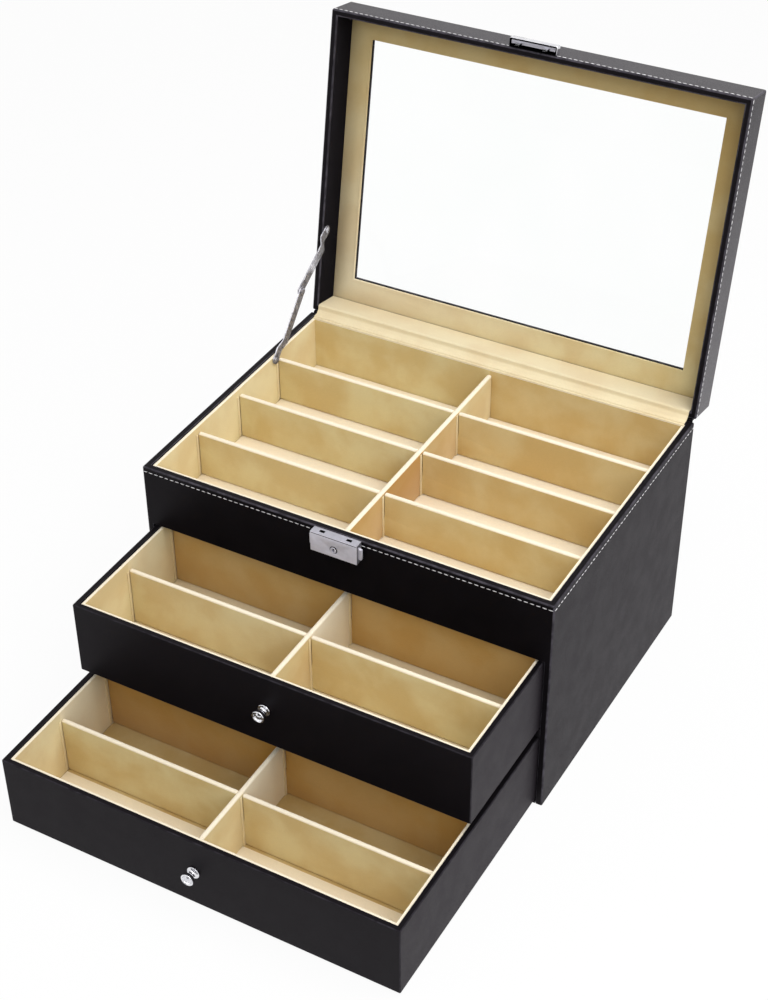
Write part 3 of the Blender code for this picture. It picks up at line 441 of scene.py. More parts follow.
def extremes(points):
    return (Vector([pick(point[i] for point in points) for i in range(3)]) for pick in (min, max))


def scaledBy(size):
    return Matrix.Diagonal((*size, 1.0))


def boxBetween(low, high):
    bm = bmesh.new()
    low, high = Vector(low), Vector(high)
    matrix = Matrix.Translation((low + high) / 2) @ scaledBy(high - low)
    bmesh.ops.create_cube(bm, size=1.0, matrix=matrix)
    return bm


def cutAway(piece, *cutters):
    for cutter in cutters:
        cut = piece.modifiers.new("cut", "BOOLEAN")
        cut.object, cut.operation, cut.solver = cutter, "DIFFERENCE", "EXACT"
    settle(piece)
    for cutter in cutters:
        bpy.data.objects.remove(cutter)
    return piece


def carvedBox(name, low, high, hollows, material):
    piece = toPiece(name, boxBetween(low, high), material)
    cutters = [toPiece(f"{name}Cutter{index}", boxBetween(start, end), material)
               for index, (start, end) in enumerate(hollows)]
    return cutAway(piece, *cutters)


def easeEdges(piece, radius, segments=2, angle=50, harden=False):
    bevel = piece.modifiers.new("ease", "BEVEL")
    bevel.width, bevel.segments = radius, segments
    bevel.limit_method, bevel.angle_limit = "ANGLE", math.radians(angle)
    bevel.harden_normals = harden
    return settle(piece)


def makeSimple(bm, weld, angle):  # merges doubles and flat faces, and turns the faces outwards
    bmesh.ops.remove_doubles(bm, verts=bm.verts, dist=mm(weld))
    bmesh.ops.dissolve_limit(bm, angle_limit=math.radians(angle), verts=bm.verts, edges=bm.edges)
    bmesh.ops.recalc_face_normals(bm, faces=bm.faces)


def roundEdges(piece, radius, shareOf, segments=4):
    # each outward edge is rounded; shareOf can give an edge a smaller share of the radius
    bm = bmesh.new()
    bm.from_mesh(piece.data)
    makeSimple(bm, meshLook["touch"], 0.5)
    weights = bm.edges.layers.float.new("bevel_weight_edge")
    for edge in bm.edges:
        if len(edge.link_faces) == 2 and edge.calc_face_angle(0) > 0.5 and edge.is_convex:
            edge[weights] = shareOf((edge.verts[0].co + edge.verts[1].co) / 2)
    bm.to_mesh(piece.data)
    bm.free()
    bevel = piece.modifiers.new("round", "BEVEL")
    bevel.width, bevel.segments, bevel.limit_method = radius, segments, "WEIGHT"
    bevel.use_clamp_overlap = True
    settle(piece)
    sharpen(piece.data, 50)
    markRoundedEdges(piece.data)
    weighted = piece.modifiers.new("weighted", "WEIGHTED_NORMAL")
    weighted.keep_sharp = True
    return settle(piece)


def markRoundedEdges(mesh):  # 1 on the rounded edges of a square-set board, 0 on its flats
    onFlat = [False] * len(mesh.vertices)
    for face in mesh.polygons:
        if max(abs(c) for c in face.normal) > 0.9995:
            for index in face.vertices:
                onFlat[index] = True
    worn = mesh.attributes.get("worn") or mesh.attributes.new("worn", "FLOAT", "POINT")
    worn.data.foreach_set("value", [0.0 if flag else 1.0 for flag in onFlat])


def shade(piece, label, how):  # an attribute from 0 to 1, such as where painted light makes the suede paler
    layer = piece.data.attributes.get(label) or piece.data.attributes.new(label, "FLOAT", "POINT")
    layer.data.foreach_set("value", [how(vertex.co) for vertex in piece.data.vertices])
    return piece


def shadeFaces(piece, label, how):  # the same, even over each face, so walls that meet keep their own tone
    mesh = piece.data
    layer = mesh.attributes.get(label) or mesh.attributes.new(label, "FLOAT", "CORNER")
    values = [0.0] * len(mesh.loops)
    for face in mesh.polygons:
        value = how(face.center, face.normal)
        for index in face.loop_indices:
            values[index] = value
    layer.data.foreach_set("value", values)
    return piece


def ringBand(section, low, high, innerLow=None, innerHigh=None):
    # closed loops round a rectangle: each section point is (from the outer side, from the inner side, height)
    bm = bmesh.new()
    loops = []
    for fromOuter, fromInner, height in section:
        if fromInner is None:
            a, b, c, d = low[0] + fromOuter, low[1] + fromOuter, high[0] - fromOuter, high[1] - fromOuter
        else:
            a, b = innerLow[0] - fromInner, innerLow[1] - fromInner
            c, d = innerHigh[0] + fromInner, innerHigh[1] + fromInner
        loops.append([bm.verts.new((x, y, height)) for x, y in ((a, b), (c, b), (c, d), (a, d))])
    for here, there in zip(loops, loops[1:] + loops[:1]):
        for corner in range(4):
            beside = (corner + 1) % 4
            bm.faces.new((here[corner], here[beside], there[beside], there[corner]))
    bmesh.ops.recalc_face_normals(bm, faces=bm.faces)
    return bm


def arcPoints(centre, radius, start, end, count):
    points = []
    for step in range(count + 1):
        angle = math.radians(start + (end - start) * step / count)
        points.append((centre[0] + radius * math.cos(angle), centre[1] + radius * math.sin(angle)))
    return points


def turned(profile, steps, matrix):
    # (radius, height) points about Z, from axis to axis
    bm = bmesh.new()
    rings = []
    for radius, height in profile:
        count = 1 if radius < 1e-7 else steps
        angles = [math.tau * s / steps for s in range(count)]
        rings.append([bm.verts.new((radius * math.cos(a), radius * math.sin(a), height)) for a in angles])
    for here, there in zip(rings, rings[1:]):
        for s in range(steps):
            n = (s + 1) % steps
            if len(here) == 1:
                bm.faces.new((here[0], there[s], there[n]))
            elif len(there) == 1:
                bm.faces.new((here[s], there[0], here[n]))
            else:
                bm.faces.new((here[s], there[s], there[n], here[n]))
    bmesh.ops.recalc_face_normals(bm, faces=bm.faces)
    bmesh.ops.transform(bm, matrix=matrix, verts=bm.verts)
    return bm


def refined(name, node, radius, material):  # a merged copy of a small CAD piece, its edges eased
    bm = bmesh.new()
    bm.from_mesh(nodes[node].data)
    makeSimple(bm, meshLook["weld"], 1.0)
    return easeEdges(toPiece(name, bm, material, sharp=35), radius, harden=True)


# geometry node trees for what repeats

def startTree(name, inputs):
    tree = bpy.data.node_groups.new(name, "GeometryNodeTree")
    tree.interface.new_socket("Geometry", in_out="INPUT", socket_type="NodeSocketGeometry")
    for label, kind, value in inputs:
        socket = tree.interface.new_socket(label, in_out="INPUT", socket_type="NodeSocket" + kind)
        if value is not None:
            socket.default_value = value
    tree.interface.new_socket("Geometry", in_out="OUTPUT", socket_type="NodeSocketGeometry")
    return tree, tree.nodes.new("NodeGroupInput").outputs, tree.nodes.new("NodeGroupOutput").inputs


def endTree(tree, instances, material, out):
    real = put(tree, "GeometryNodeRealizeInstances", {"Geometry": instances})
    painted = put(tree, "GeometryNodeSetMaterial", {"Geometry": real.outputs[0], "Material": material})
    tree.links.new(painted.outputs[0], out["Geometry"])


def runTree(piece, tree, values):
    modifier = piece.modifiers.new(tree.name, "NODES")
    modifier.node_group = tree
    sockets = [item for item in tree.interface.items_tree if item.item_type == "SOCKET"]
    known = {item.name: item.identifier for item in sockets if item.in_out == "INPUT"}
    for label, value in values.items():
        modifier[known[label]] = value
    return settle(piece)


# one stitch at each step along a path; the path carries the surface's direction as "outward"
stitchTree, given, out = startTree("stitchRow", [
    ("Pitch", "Float", mm(4)), ("Length", "Float", mm(3)), ("Thickness", "Float", mm(0.5)),
    ("Lean", "Float", 0.1), ("Seed", "Int", 3), ("Thread", "Material", None),
])


def stitchPut(kind, inputs=None, **settings):
    return put(stitchTree, kind, inputs, **settings).outputs


line = stitchPut("GeometryNodeMeshToCurve", {"Mesh": given["Geometry"]})[0]
steps = stitchPut("GeometryNodeResampleCurve", {"Curve": line, 3: given["Pitch"]}, mode="LENGTH")[0]
ball = stitchPut("GeometryNodeMeshUVSphere", {"Segments": 8, "Rings": 5, "Radius": 0.5})["Mesh"]
size = stitchPut("ShaderNodeCombineXYZ", {0: given["Length"], 1: given["Thickness"], 2: given["Thickness"]})[0]
shaped = stitchPut("GeometryNodeTransform", {"Geometry": ball, "Scale": size})[0]
outward = stitchPut("GeometryNodeInputNamedAttribute", {"Name": "outward"}, data_type="FLOAT_VECTOR")
tangent = stitchPut("GeometryNodeInputTangent")[0]
facing = stitchPut("FunctionNodeAxesToRotation", {0: outward["Attribute"], 1: tangent},
                   primary_axis="Z", secondary_axis="X")[0]
low = times(stitchTree, given["Lean"], -1.0)
turn = stitchPut("FunctionNodeRandomValue", {2: low, 3: given["Lean"], "Seed": given["Seed"]},
                 data_type="FLOAT")[1]
tilt = stitchPut("ShaderNodeCombineXYZ", {2: turn})[0]
spun = stitchPut("FunctionNodeEulerToRotation", {0: tilt})[0]
faced = stitchPut("FunctionNodeRotateRotation", {0: facing, 1: spun}, rotation_space="LOCAL")[0]
placed = stitchPut("GeometryNodeInstanceOnPoints", {"Points": steps, "Instance": shaped, "Rotation": faced})[0]
endTree(stitchTree, placed, given["Thread"], out)

# copies in a row, such as dividers and corner strips
rowTree, given, out = startTree("evenRow", [
    ("Count", "Int", 3), ("Step", "Vector", (0, 0, 0)), ("Cover", "Material", None),
])
along = put(rowTree, "GeometryNodeMeshLine", {"Count": given["Count"], "Offset": given["Step"]})
placed = put(rowTree, "GeometryNodeInstanceOnPoints",
             {"Points": along.outputs[0], "Instance": given["Geometry"]})
endTree(rowTree, placed.outputs[0], given["Cover"], out)


# the case's leather: side walls, back and tray front in one wrapped form
caseLook = {"round": 1.3, "inner": 0.7, "foot": 0.45, "lap": 1.0}
leftLow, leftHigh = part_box("left_wall")
rightLow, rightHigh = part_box("right_wall")
frontLow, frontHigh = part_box("tray_front_panel")
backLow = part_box("back_wall")[0]
caseShell = carvedBox("caseShell", leftLow, rightHigh, [
    ((leftHigh.x, frontHigh.y, -far), (rightLow.x, backLow.y, rightHigh.z + far)),
    ((leftHigh.x, frontLow.y - far, -far), (rightLow.x, frontHigh.y + mm(caseLook["lap"]), frontLow.z)),
], leather)


def caseShare(middle):
    if middle.z < near:
        return caseLook["foot"]
    outside = sum((abs(middle.x) > rightHigh.x - near, abs(middle.y) > rightHigh.y - near,
                   middle.z > rightHigh.z - near))
    return 1.0 if outside >= 2 else caseLook["inner"] / caseLook["round"]


roundEdges(caseShell, mm(caseLook["round"]), caseShare)
ownBy(caseShell, "case", "black_leatherette", "left_wall", "right_wall", "back_wall", "tray_front_panel")

stitchLook = {"pitch": 4.65, "length": 3.6, "thickness": 0.62, "lean": 0.07, "seed": 11,
              "down": 4.0, "end": 2.6, "proud": 0.02, "lockGap": 1.2}
lidStitchLook = dict(stitchLook, seed=23, pitch=4.3, length=3.3)
lockLow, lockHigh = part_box("lock_housing")
proud = mm(stitchLook["proud"])


def stitchFrame(left, right, front, back, height, out):
    # (start, end, outward) of the rows along the front, where the lock leaves a gap, and both sides
    end, gap = mm(stitchLook["end"]), mm(stitchLook["lockGap"])
    return [
        ((left + end, front - out, height), (lockLow.x - gap, front - out, height), (0, -1, 0)),
        ((lockHigh.x + gap, front - out, height), (right - end, front - out, height), (0, -1, 0)),
        ((right + out, front + end, height), (right + out, back - end, height), (1, 0, 0)),
        ((left - out, front + end, height), (left - out, back - end, height), (-1, 0, 0)),
    ]


def stitchRuns(name, runs, look, body):
    mesh = bpy.data.meshes.new(name)
    points, edges, outwards = [], [], []
    for start, end, facing in runs:
        edges.append((len(points), len(points) + 1))
        points += [start, end]
        outwards += [facing, facing]
    mesh.from_pydata(points, edges, [])
    layer = mesh.attributes.new("outward", "FLOAT_VECTOR", "POINT")
    layer.data.foreach_set("vector", [c for facing in outwards for c in facing])
    values = {label.title(): mm(look[label]) for label in ("pitch", "length", "thickness")}
    values.update({"Lean": look["lean"], "Seed": look["seed"], "Thread": thread})
    piece = runTree(linkPiece(name, mesh, thread), stitchTree, values)
    piece.data.shade_smooth()
    return ownBy(piece, body, "cream_suede")


down = rightHigh.z - mm(stitchLook["down"])
runs = stitchFrame(leftLow.x, rightHigh.x, frontLow.y, rightHigh.y, down, proud)
stitchRuns("caseStitches", runs, stitchLook, "case")
repaint(paper, "base_board", "drawer_shelf", "tray_floor_board")
print("case shell and stitches done")


# linings, floor cards and dividers, which the tray and both drawers share: sizes and painted light, then the
# painted light and shade for the tray and each drawer
fitLook = {"lining": 2.1, "lip": 0.6, "dividerRound": 1.25, "ridgeFrom": 0.9, "slotGap": 0.3,
           "lapGap": 0.15, "rearLead": 5.0, "cardEdge": 0.8, "cardCrown": 0.35, "tabWide": 2.4, "tabThick": 0.6,
           "tabGap": 0.04, "tabShort": 0.6, "tabRound": 0.22, "topPaintedLight": 1.0, "tabPaintedLight": 0.3, "bandPaintedLight": 0.45}
# painted light and shade for each: divider faces and rear rows, the right column, walls, floors, and the centre
# divider row by row
trayLightAndShade = dict(face=0.04, rear=0.0, right=0.24, wall=0.15, wallRear=0.15, floor=1.0, floorRear=1.0,
               ridge=(-0.6, -0.85, -0.45, 0.05))
topDrawerLightAndShade = dict(face=0.1, rear=-0.52, right=0.08, wall=0.15, wallRear=0.3, floor=0.95, floorRear=0.6,
              ridge=(-0.2, 0.8, 0.8, 0.8))
bottomDrawerLightAndShade = dict(face=0.0, rear=-0.72, right=-0.06, wall=0.2, wallRear=0.6, floor=0.95, floorRear=-0.3,
                 ridge=(0.1, 0.8, 0.8, 0.8))


def halve(bm, axis="X", *places):  # cuts faces, so that columns and rows can take different painted light and shade
    facing = Vector((1, 0, 0)) if axis == "X" else Vector((0, 1, 0))
    for place in places or (0.0,):
        geometry = [*bm.verts, *bm.edges, *bm.faces]
        bmesh.ops.bisect_plane(bm, geom=geometry, plane_co=facing * place, plane_no=facing)
    return bm


def paintLightAndShade(piece, how, write=shadeFaces):  # above 0 painted light makes the suede paler, below 0 painted shade makes it deeper
    write(piece, "sunk", lambda *where: max(-how(*where), 0.0))
    return write(piece, "raised", lambda *where: max(how(*where), 0.0))


def makeLining(name, node, body, look, rearFrom):
    low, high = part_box(node)
    thick, lip, top = mm(fitLook["lining"]), mm(fitLook["lip"]), high.z
    outer = lip * 0.5
    section = [(0, None, low.z), (thick, None, low.z)]
    section += [(x, None, z) for x, z in arcPoints((thick - lip, top - lip), lip, 0, 90, 5)]
    section += [(x, None, z) for x, z in arcPoints((outer, top - outer), outer, 90, 180, 3)]
    bm = halve(halve(ringBand(section, low, high)), "Y", rearFrom)
    rim = top - lip + near / 2

    # painted light on the top lip; the back wall, set apart on its right, and the side walls take the painted
    # light and shade set for the tray or drawer
    def tone(co, facing):
        if co.z > rim:
            return fitLook["topPaintedLight"]
        if facing.y < -0.5:
            return look["rear"] - (look["right"] if co.x > 0 else 0.0)
        return look["wallRear" if co.y > rearFrom else "wall"]
    piece = paintLightAndShade(toPiece(name, bm, suede, sharp=60), tone)
    return ownBy(piece, body, "cream_suede", node)


cardLook = {"columns": 48, "rows": 36, "step": 0.35, "drop": 0.8, "wave": 0.12, "waveX": (61, 1.3),
            "waveY": (83, 0.4)}


def makeFloorCard(name, node, body, look, rearFrom):
    # a thin covered card, its edges turned down and its middle a little full
    low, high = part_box(node)
    bm = bmesh.new()
    grid = []
    edge, crown = mm(fitLook["cardEdge"]), mm(fitLook["cardCrown"])
    (perX, fromX), (perY, fromY) = cardLook["waveX"], cardLook["waveY"]

    def spaced(start, finish, count):
        inner = count - 6
        between = finish - start - 2 * edge
        places = [start, start + edge * cardLook["step"], start + edge]
        places += [start + edge + between * (i + 1) / (inner + 1) for i in range(inner)]
        return places + [finish - edge, finish - edge * cardLook["step"], finish]

    def heightAt(x, y):
        away = min(x - low.x, high.x - x, y - low.y, high.y - y)
        drop = 0.0 if away >= edge else (1 - away / edge) ** 2 * edge * cardLook["drop"]
        wave = math.sin(x * perX + fromX) * math.cos(y * perY + fromY)
        return high.z - (drop or (wave + 1) * cardLook["wave"] * crown)
    for y in spaced(low.y, high.y, cardLook["rows"]):
        grid.append([bm.verts.new((x, y, heightAt(x, y))) for x in spaced(low.x, high.x, cardLook["columns"])])
    for a, b in zip(grid, grid[1:]):
        for i in range(len(a) - 1):
            bm.faces.new((a[i], a[i + 1], b[i + 1], b[i]))
    grown = bmesh.ops.extrude_edge_only(bm, edges=[e for e in bm.edges if e.is_boundary])["geom"]
    for vertex in grown:
        if isinstance(vertex, bmesh.types.BMVert):
            vertex.co.z = low.z
    bmesh.ops.contextual_create(bm, geom=[e for e in bm.edges if e.is_boundary])
    bmesh.ops.recalc_face_normals(bm, faces=bm.faces)

    # painted light makes the floors paler; the rear rows take their own amount, which is painted shade in the
    # bottom drawer
    def tone(co, facing):
        return look["floorRear" if co.y > rearFrom else "floor"]
    return ownBy(paintLightAndShade(toPiece(name, bm, suede, sharp=60), tone), body, "cream_suede", node)


def roundedPrism(outline, axis, start, end, radius, segments=3):
    # an upright outline, thick along one axis, its edges rounded
    bm = bmesh.new()
    points = [(start, a, b) if axis == "X" else (a, start, b) for a, b in outline]
    face = bm.faces.new([bm.verts.new(p) for p in points])
    grown = bmesh.ops.extrude_face_region(bm, geom=[face])["geom"]
    shift = (end - start, 0, 0) if axis == "X" else (0, end - start, 0)
    bmesh.ops.translate(bm, verts=[v for v in grown if isinstance(v, bmesh.types.BMVert)], vec=shift)
    bmesh.ops.recalc_face_normals(bm, faces=bm.faces)
    edges = [e for e in bm.edges if len(e.link_faces) == 2 and e.is_convex and e.calc_face_angle(0) > 0.5]
    bmesh.ops.bevel(bm, geom=edges, offset=radius, segments=segments, profile=0.5, affect="EDGES",
                    clamp_overlap=True)
    return bm


def makeDividers(prefix, label, body, look):
    first = f"{prefix}_cross_divider_"
    low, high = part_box(first + "1")
    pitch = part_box(first + "2")[0].y - low.y
    centreLow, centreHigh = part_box(prefix + "_centre_divider")
    slot = (high.y - low.y) / 2 + mm(fitLook["slotGap"])
    lap, apart = (low.z + high.z) / 2, mm(fitLook["lapGap"])
    rounding = mm(fitLook["dividerRound"])
    belowRidge = rounding * fitLook["ridgeFrom"]
    row = {"Count": 3, "Step": (0, pitch, 0), "Cover": suede}

    # three cross dividers, slotted from above
    outline = [(low.x, low.z), (high.x, low.z), (high.x, high.z), (slot, high.z), (slot, lap - apart),
               (-slot, lap - apart), (-slot, high.z), (low.x, high.z)]
    bm = halve(roundedPrism(outline, "Y", low.y, high.y, rounding))
    piece = runTree(toPiece(label + "CrossDividers", bm, suede, sharp=50), rowTree, row)
    piece.data.set_sharp_from_angle(angle=math.radians(50))

    # painted light on the tops; on the faces painted light and shade, with its own amount for the dividers
    # behind the first and for the right column
    def tone(co, facing):
        if co.z > high.z - belowRidge:
            return fitLook["topPaintedLight"]
        behind = co.y > low.y + pitch - mm(fitLook["rearLead"])
        return look["rear" if behind else "face"] - (look["right"] if co.x > 0 else 0.0)
    ownBy(paintLightAndShade(piece, tone), body, "cream_suede", first + "1", first + "2", first + "3")

    # the centre divider, slotted from below
    middles = [(low.y + high.y) / 2 + index * pitch for index in range(3)]
    outline = [(centreLow.y, centreLow.z)]
    for middle in middles:
        outline += [(middle - slot, centreLow.z), (middle - slot, lap + apart),
                    (middle + slot, lap + apart), (middle + slot, centreLow.z)]
    outline += [(centreHigh.y, centreLow.z), (centreHigh.y, centreHigh.z), (centreLow.y, centreHigh.z)]
    bm = halve(roundedPrism(outline, "X", centreLow.x, centreHigh.x, rounding), "Y", *middles)

    # painted light on the top; the sides take painted light and shade set row by row
    def ridgeTone(co, facing):
        onTop = co.z > centreHigh.z - belowRidge
        return fitLook["topPaintedLight"] if onTop else look["ridge"][sum(co.y > middle for middle in middles)]
    piece = paintLightAndShade(toPiece(label + "CentreDivider", bm, suede, sharp=50), ridgeTone)
    ownBy(piece, body, "cream_suede", prefix + "_centre_divider")

    # narrow corner strips that the cross dividers' ends lean on
    wide, thick, short = mm(fitLook["tabWide"]), mm(fitLook["tabThick"]), mm(fitLook["tabShort"])
    lining = mm(fitLook["lining"])
    liningLow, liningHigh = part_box(prefix + "_lining")
    faces = [(liningLow.x + lining, 1), (centreLow.x, -1), (centreHigh.x, 1), (liningHigh.x - lining, -1)]
    bm = bmesh.new()
    for face, side in faces:
        middle = (face + side * thick / 2, low.y - wide / 2 - mm(fitLook["tabGap"]), lap - short)
        matrix = Matrix.Translation(middle) @ scaledBy((thick, wide, high.z - low.z - 2 * short))
        one = bmesh.ops.create_cube(bm, size=1.0, matrix=matrix)
        edges = [e for e in bm.edges if e.verts[0] in one["verts"] and e.verts[1] in one["verts"]]
        bmesh.ops.bevel(bm, geom=edges, offset=mm(fitLook["tabRound"]), segments=2, profile=0.5, affect="EDGES")
    piece = toPiece(label + "CornerStrips", bm, suede, sharp=50)
    # painted light makes the corner strips paler
    runTree(shade(piece, "raised", lambda co: fitLook["tabPaintedLight"]), rowTree, row)
    piece.data.set_sharp_from_angle(angle=math.radians(50))
    ownBy(piece, body, "cream_suede")


for prefix, label, body, look in (("tray", "tray", "case", trayLightAndShade),
                                  ("top_drawer", "topDrawer", "top_drawer", topDrawerLightAndShade),
                                  ("bottom_drawer", "bottomDrawer", "bottom_drawer", bottomDrawerLightAndShade)):
    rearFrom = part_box(prefix + "_cross_divider_1")[0].y
    makeLining(label + "Lining", prefix + "_lining", body, look, rearFrom)
    makeFloorCard(label + "FloorCard", prefix + "_floor_pad", body, look, rearFrom)
    makeDividers(prefix, label, body, look)
print("linings, cards and dividers done")


# the drawers' leather-covered boxes
drawerLook = {"round": 1.0, "inner": 0.5}

# a knob's outline as (radius, height): a foot, a thin neck and a domed head inside a rounded rim.
# The arcs are (centre, radius, start, end, count); the last three stand on the head's underside and its top.
knobLook = {
    "turns": 72, "bore": 1.7, "boreDeep": 0.4, "headHigh": 3.8, "underEdge": (3.0, -0.15), "crown": 0.15,
    "footEdge": ((4.7, 0.3), 0.3, -90, 0, 4), "footTop": ((4.4, 0.5), 0.6, 0, 80, 6),
    "neck": [(3.7, 1.1), (3.1, 1.3), (2.6, 1.8), (2.3, 2.5), (2.2, 3.2), (2.25, 3.9), (2.5, 4.5)],
    "underHead": ((3.7, 1.25), 1.3, -80, -5, 8),
    "headRim": ((4.3, -0.8), 0.7, 0, 180, 12), "dome": ((0, -4.85), 4.7, 45, 90, 10),
}


def arcFrom(arc, height=0.0):
    (across, up), *rest = arc
    return arcPoints((across, up + height), *rest)


def makeDrawer(prefix, label):
    low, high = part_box(prefix + "_left_side")
    farLow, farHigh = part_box(prefix + "_right_side")
    faceLow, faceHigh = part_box(prefix + "_front")
    endLow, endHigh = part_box(prefix + "_back")
    outLow = Vector((low.x, faceLow.y, low.z))
    outHigh = Vector((farHigh.x, endHigh.y, farHigh.z))
    hollow = ((high.x, faceHigh.y, low.z - far), (farLow.x, endLow.y, farHigh.z + far))
    shell = carvedBox(label + "Box", outLow, outHigh, [hollow], drawerLeather)

    def share(middle):
        inside = min(middle.x - outLow.x, outHigh.x - middle.x, middle.y - outLow.y, outHigh.y - middle.y)
        return 1.0 if inside < near else drawerLook["inner"] / drawerLook["round"]
    roundEdges(shell, mm(drawerLook["round"]), share)
    ownBy(shell, prefix, "black_leatherette", prefix + "_front", prefix + "_left_side",
          prefix + "_right_side", prefix + "_back")
    repaint(paper, prefix + "_bottom")
    repaint(steel, prefix + "_knob_screw")

    knobLow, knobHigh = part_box(prefix + "_knob")
    centre = Vector(((knobLow.x + knobHigh.x) / 2, knobHigh.y, (knobLow.z + knobHigh.z) / 2))
    long = (knobHigh.y - knobLow.y) * 1000
    head = long - knobLook["headHigh"]
    bore, deep = knobLook["bore"], knobLook["boreDeep"]
    underEdge, underHigh = knobLook["underEdge"]
    profile = [(0, deep), (bore, deep), (bore, 0.0)]
    profile += arcFrom(knobLook["footEdge"]) + arcFrom(knobLook["footTop"]) + knobLook["neck"]
    profile += [(underEdge, head + underHigh)] + arcFrom(knobLook["underHead"], head)
    profile += arcFrom(knobLook["headRim"], long) + arcFrom(knobLook["dome"], long)[1:-1]
    profile += [(0, long - knobLook["crown"])]
    bm = turned([mm(*point) for point in profile], knobLook["turns"],
                Matrix.Translation(centre) @ Matrix.Rotation(quarterTurn, 4, "X"))
    ownBy(toPiece(label + "Knob", bm, chrome, sharp=60), prefix, "chrome", prefix + "_knob")


makeDrawer("top_drawer", "topDrawer")
makeDrawer("bottom_drawer", "bottomDrawer")
print("drawers and knobs done")


# the lid, modelled closed about its hinge line and then swung open
hinge = next(joint for joint in frame["joints"] if joint["name"] == "lid_hinge")
pivot = Vector(hinge["pos_m"])
openLid = Matrix.Translation(pivot) @ Matrix.Rotation(math.radians(-hinge["range_deg"][1]), 4, "X")
toClosed = openLid.inverted()
lidLook = {"rim": 0.6, "top": 29.6, "front": -245.7, "back": -0.7, "half": 167.5, "wall": 5.2, "cover": 1.6,
           "round": 1.4, "windowRound": 0.6, "windowSide": 1.0, "stitchUp": 2.0}
lidCoat = {"skin": 0.3, "overRim": 0.9, "front": 0.58, "right": 0.34, "rightBack": 0.72, "rest": 0.25}
windowLook = {"half": 143.4, "front": -221.3, "back": -26.1}
half, wall = lidLook["half"], lidLook["wall"]
lidFront, lidBack, lidTop = mm(lidLook["front"], lidLook["back"], lidLook["top"])
windowHalf, windowFront, windowBack = mm(windowLook["half"], windowLook["front"], windowLook["back"])
lidShell = carvedBox("lidShell", mm(-half, lidLook["front"], lidLook["rim"]), (mm(half), lidBack, lidTop), [
    (mm(-half + wall, lidLook["front"] + wall, -meshLook["beyond"]),
     mm(half - wall, lidLook["back"] - wall, lidLook["top"] - lidLook["cover"])),
    ((-windowHalf, windowFront, -far), (windowHalf, windowBack, 3 * far)),
], lidLeather)


def lidShare(middle):
    beside = mm(lidLook["windowSide"])
    inWindow = abs(middle.x) < windowHalf + beside and windowFront - beside < middle.y < windowBack + beside
    return lidLook["windowRound"] / lidLook["round"] if inWindow else 1.0


roundEdges(lidShell, mm(lidLook["round"]), lidShare)


def coatAt(co):  # the lid's outer faces have a sheen, but not its rim or its inner walls
    skin = mm(lidCoat["skin"])
    away = min(mm(half) - abs(co.x), co.y - lidFront, lidBack - co.y, lidTop - co.z)
    if away >= skin or co.z <= mm(lidLook["rim"] + lidCoat["overRim"]):
        return 0.0
    if co.y < lidFront + skin:
        return lidCoat["front"]
    if co.x > mm(half) - skin:
        return min(lidCoat["right"] + lidCoat["rightBack"] * (co.y - lidFront) / (lidBack - lidFront), 1.0)
    return lidCoat["rest"]


shade(lidShell, "coated", coatAt)
lidShell.data.transform(openLid)
ownBy(lidShell, "lid", "black_leatherette", "lid_left_rail", "lid_right_rail", "lid_front_rail",
      "lid_back_rail", "lid_top_frame")

side = mm(half) + proud
runs = stitchFrame(-side, side, lidFront - proud, lidBack, mm(lidLook["rim"] + lidLook["stitchUp"]), 0.0)
swing = openLid.to_3x3()
runs = [(openLid @ Vector(a), openLid @ Vector(b), swing @ Vector(c)) for a, b, c in runs]
stitchRuns("lidStitches", runs, lidStitchLook, "lid")

# the lid's inner frame: flat, dipping towards a rolled lip round the window
innerLook = {"half": 162.0, "front": -240.2, "back": -6.2, "face": 24.3, "top": 25.8, "edge": 0.3,
             "dip": [(4.5, 0.0), (3.2, 0.05), (2.2, 0.25)], "lip": 0.9, "roll": 0.55, "inner": 0.45}
frameLightAndShade = {"hem": 100.0, "low": (0.55, -0.05), "high": (-0.45, -0.62)}
face, top, lip, edge = (innerLook[key] for key in ("face", "top", "lip", "edge"))
lipFace = face - innerLook["dip"][-1][1]
roll = lip * innerLook["roll"]
section = [(0, None, mm(top)), (0, None, mm(face + edge)), (mm(edge), None, mm(face))]
section += [(None, mm(beside), mm(face - dip)) for beside, dip in innerLook["dip"]]
section += [(None, mm(lip - x), mm(lipFace + roll - z)) for x, z in arcPoints((0, 0), roll, 120, 0, 8)]
section += [(None, mm(lip * innerLook["inner"]), mm(top))]
bm = ringBand(section, mm(-innerLook["half"], innerLook["front"]), mm(innerLook["half"], innerLook["back"]),
              (-windowHalf, windowFront), (windowHalf, windowBack))
bmesh.ops.transform(bm, matrix=openLid, verts=bm.verts)
hem = pivot.z + mm(frameLightAndShade["hem"])


# painted light and shade on the lid frame: the lower part paler on the left and a little darker on the right,
# the upper part darker on both sides
def paintFrameLightAndShade(co):
    return frameLightAndShade["low" if co.z < hem else "high"][co.x > 0]


lidInnerFrame = paintLightAndShade(toPiece("lidInnerFrame", bm, lidSuede, sharp=60), paintFrameLightAndShade, shade)
ownBy(lidInnerFrame, "lid", "cream_suede", "lid_inner_frame")
repaint(glass, "window_glass")
nodes["window_glass"].visible_shadow = False
print("lid done")


# the two strips at the hinge, each laid round the bend from the case's rim into the open lid
liningStrip = {"thick": 0.4, "inLid": 6.0, "underFace": 0.35, "overRim": 0.5, "behind": 2.2, "gap": 0.1,
               "bend": 1.1, "from": -1.2, "to": 2.1}
leatherStrip = {"thick": 0.6, "behind": 0.4, "leg": 18.0, "slope": 50, "bend": 2.0, "from": -1.5, "to": 1.5}
stripSteps = {"across": 56, "longest": 3.0, "bend": 6, "reach": 0.45}


def onLid(forward, above):
    point = openLid @ Vector(mm(0, -forward, above))
    return point.y, point.z


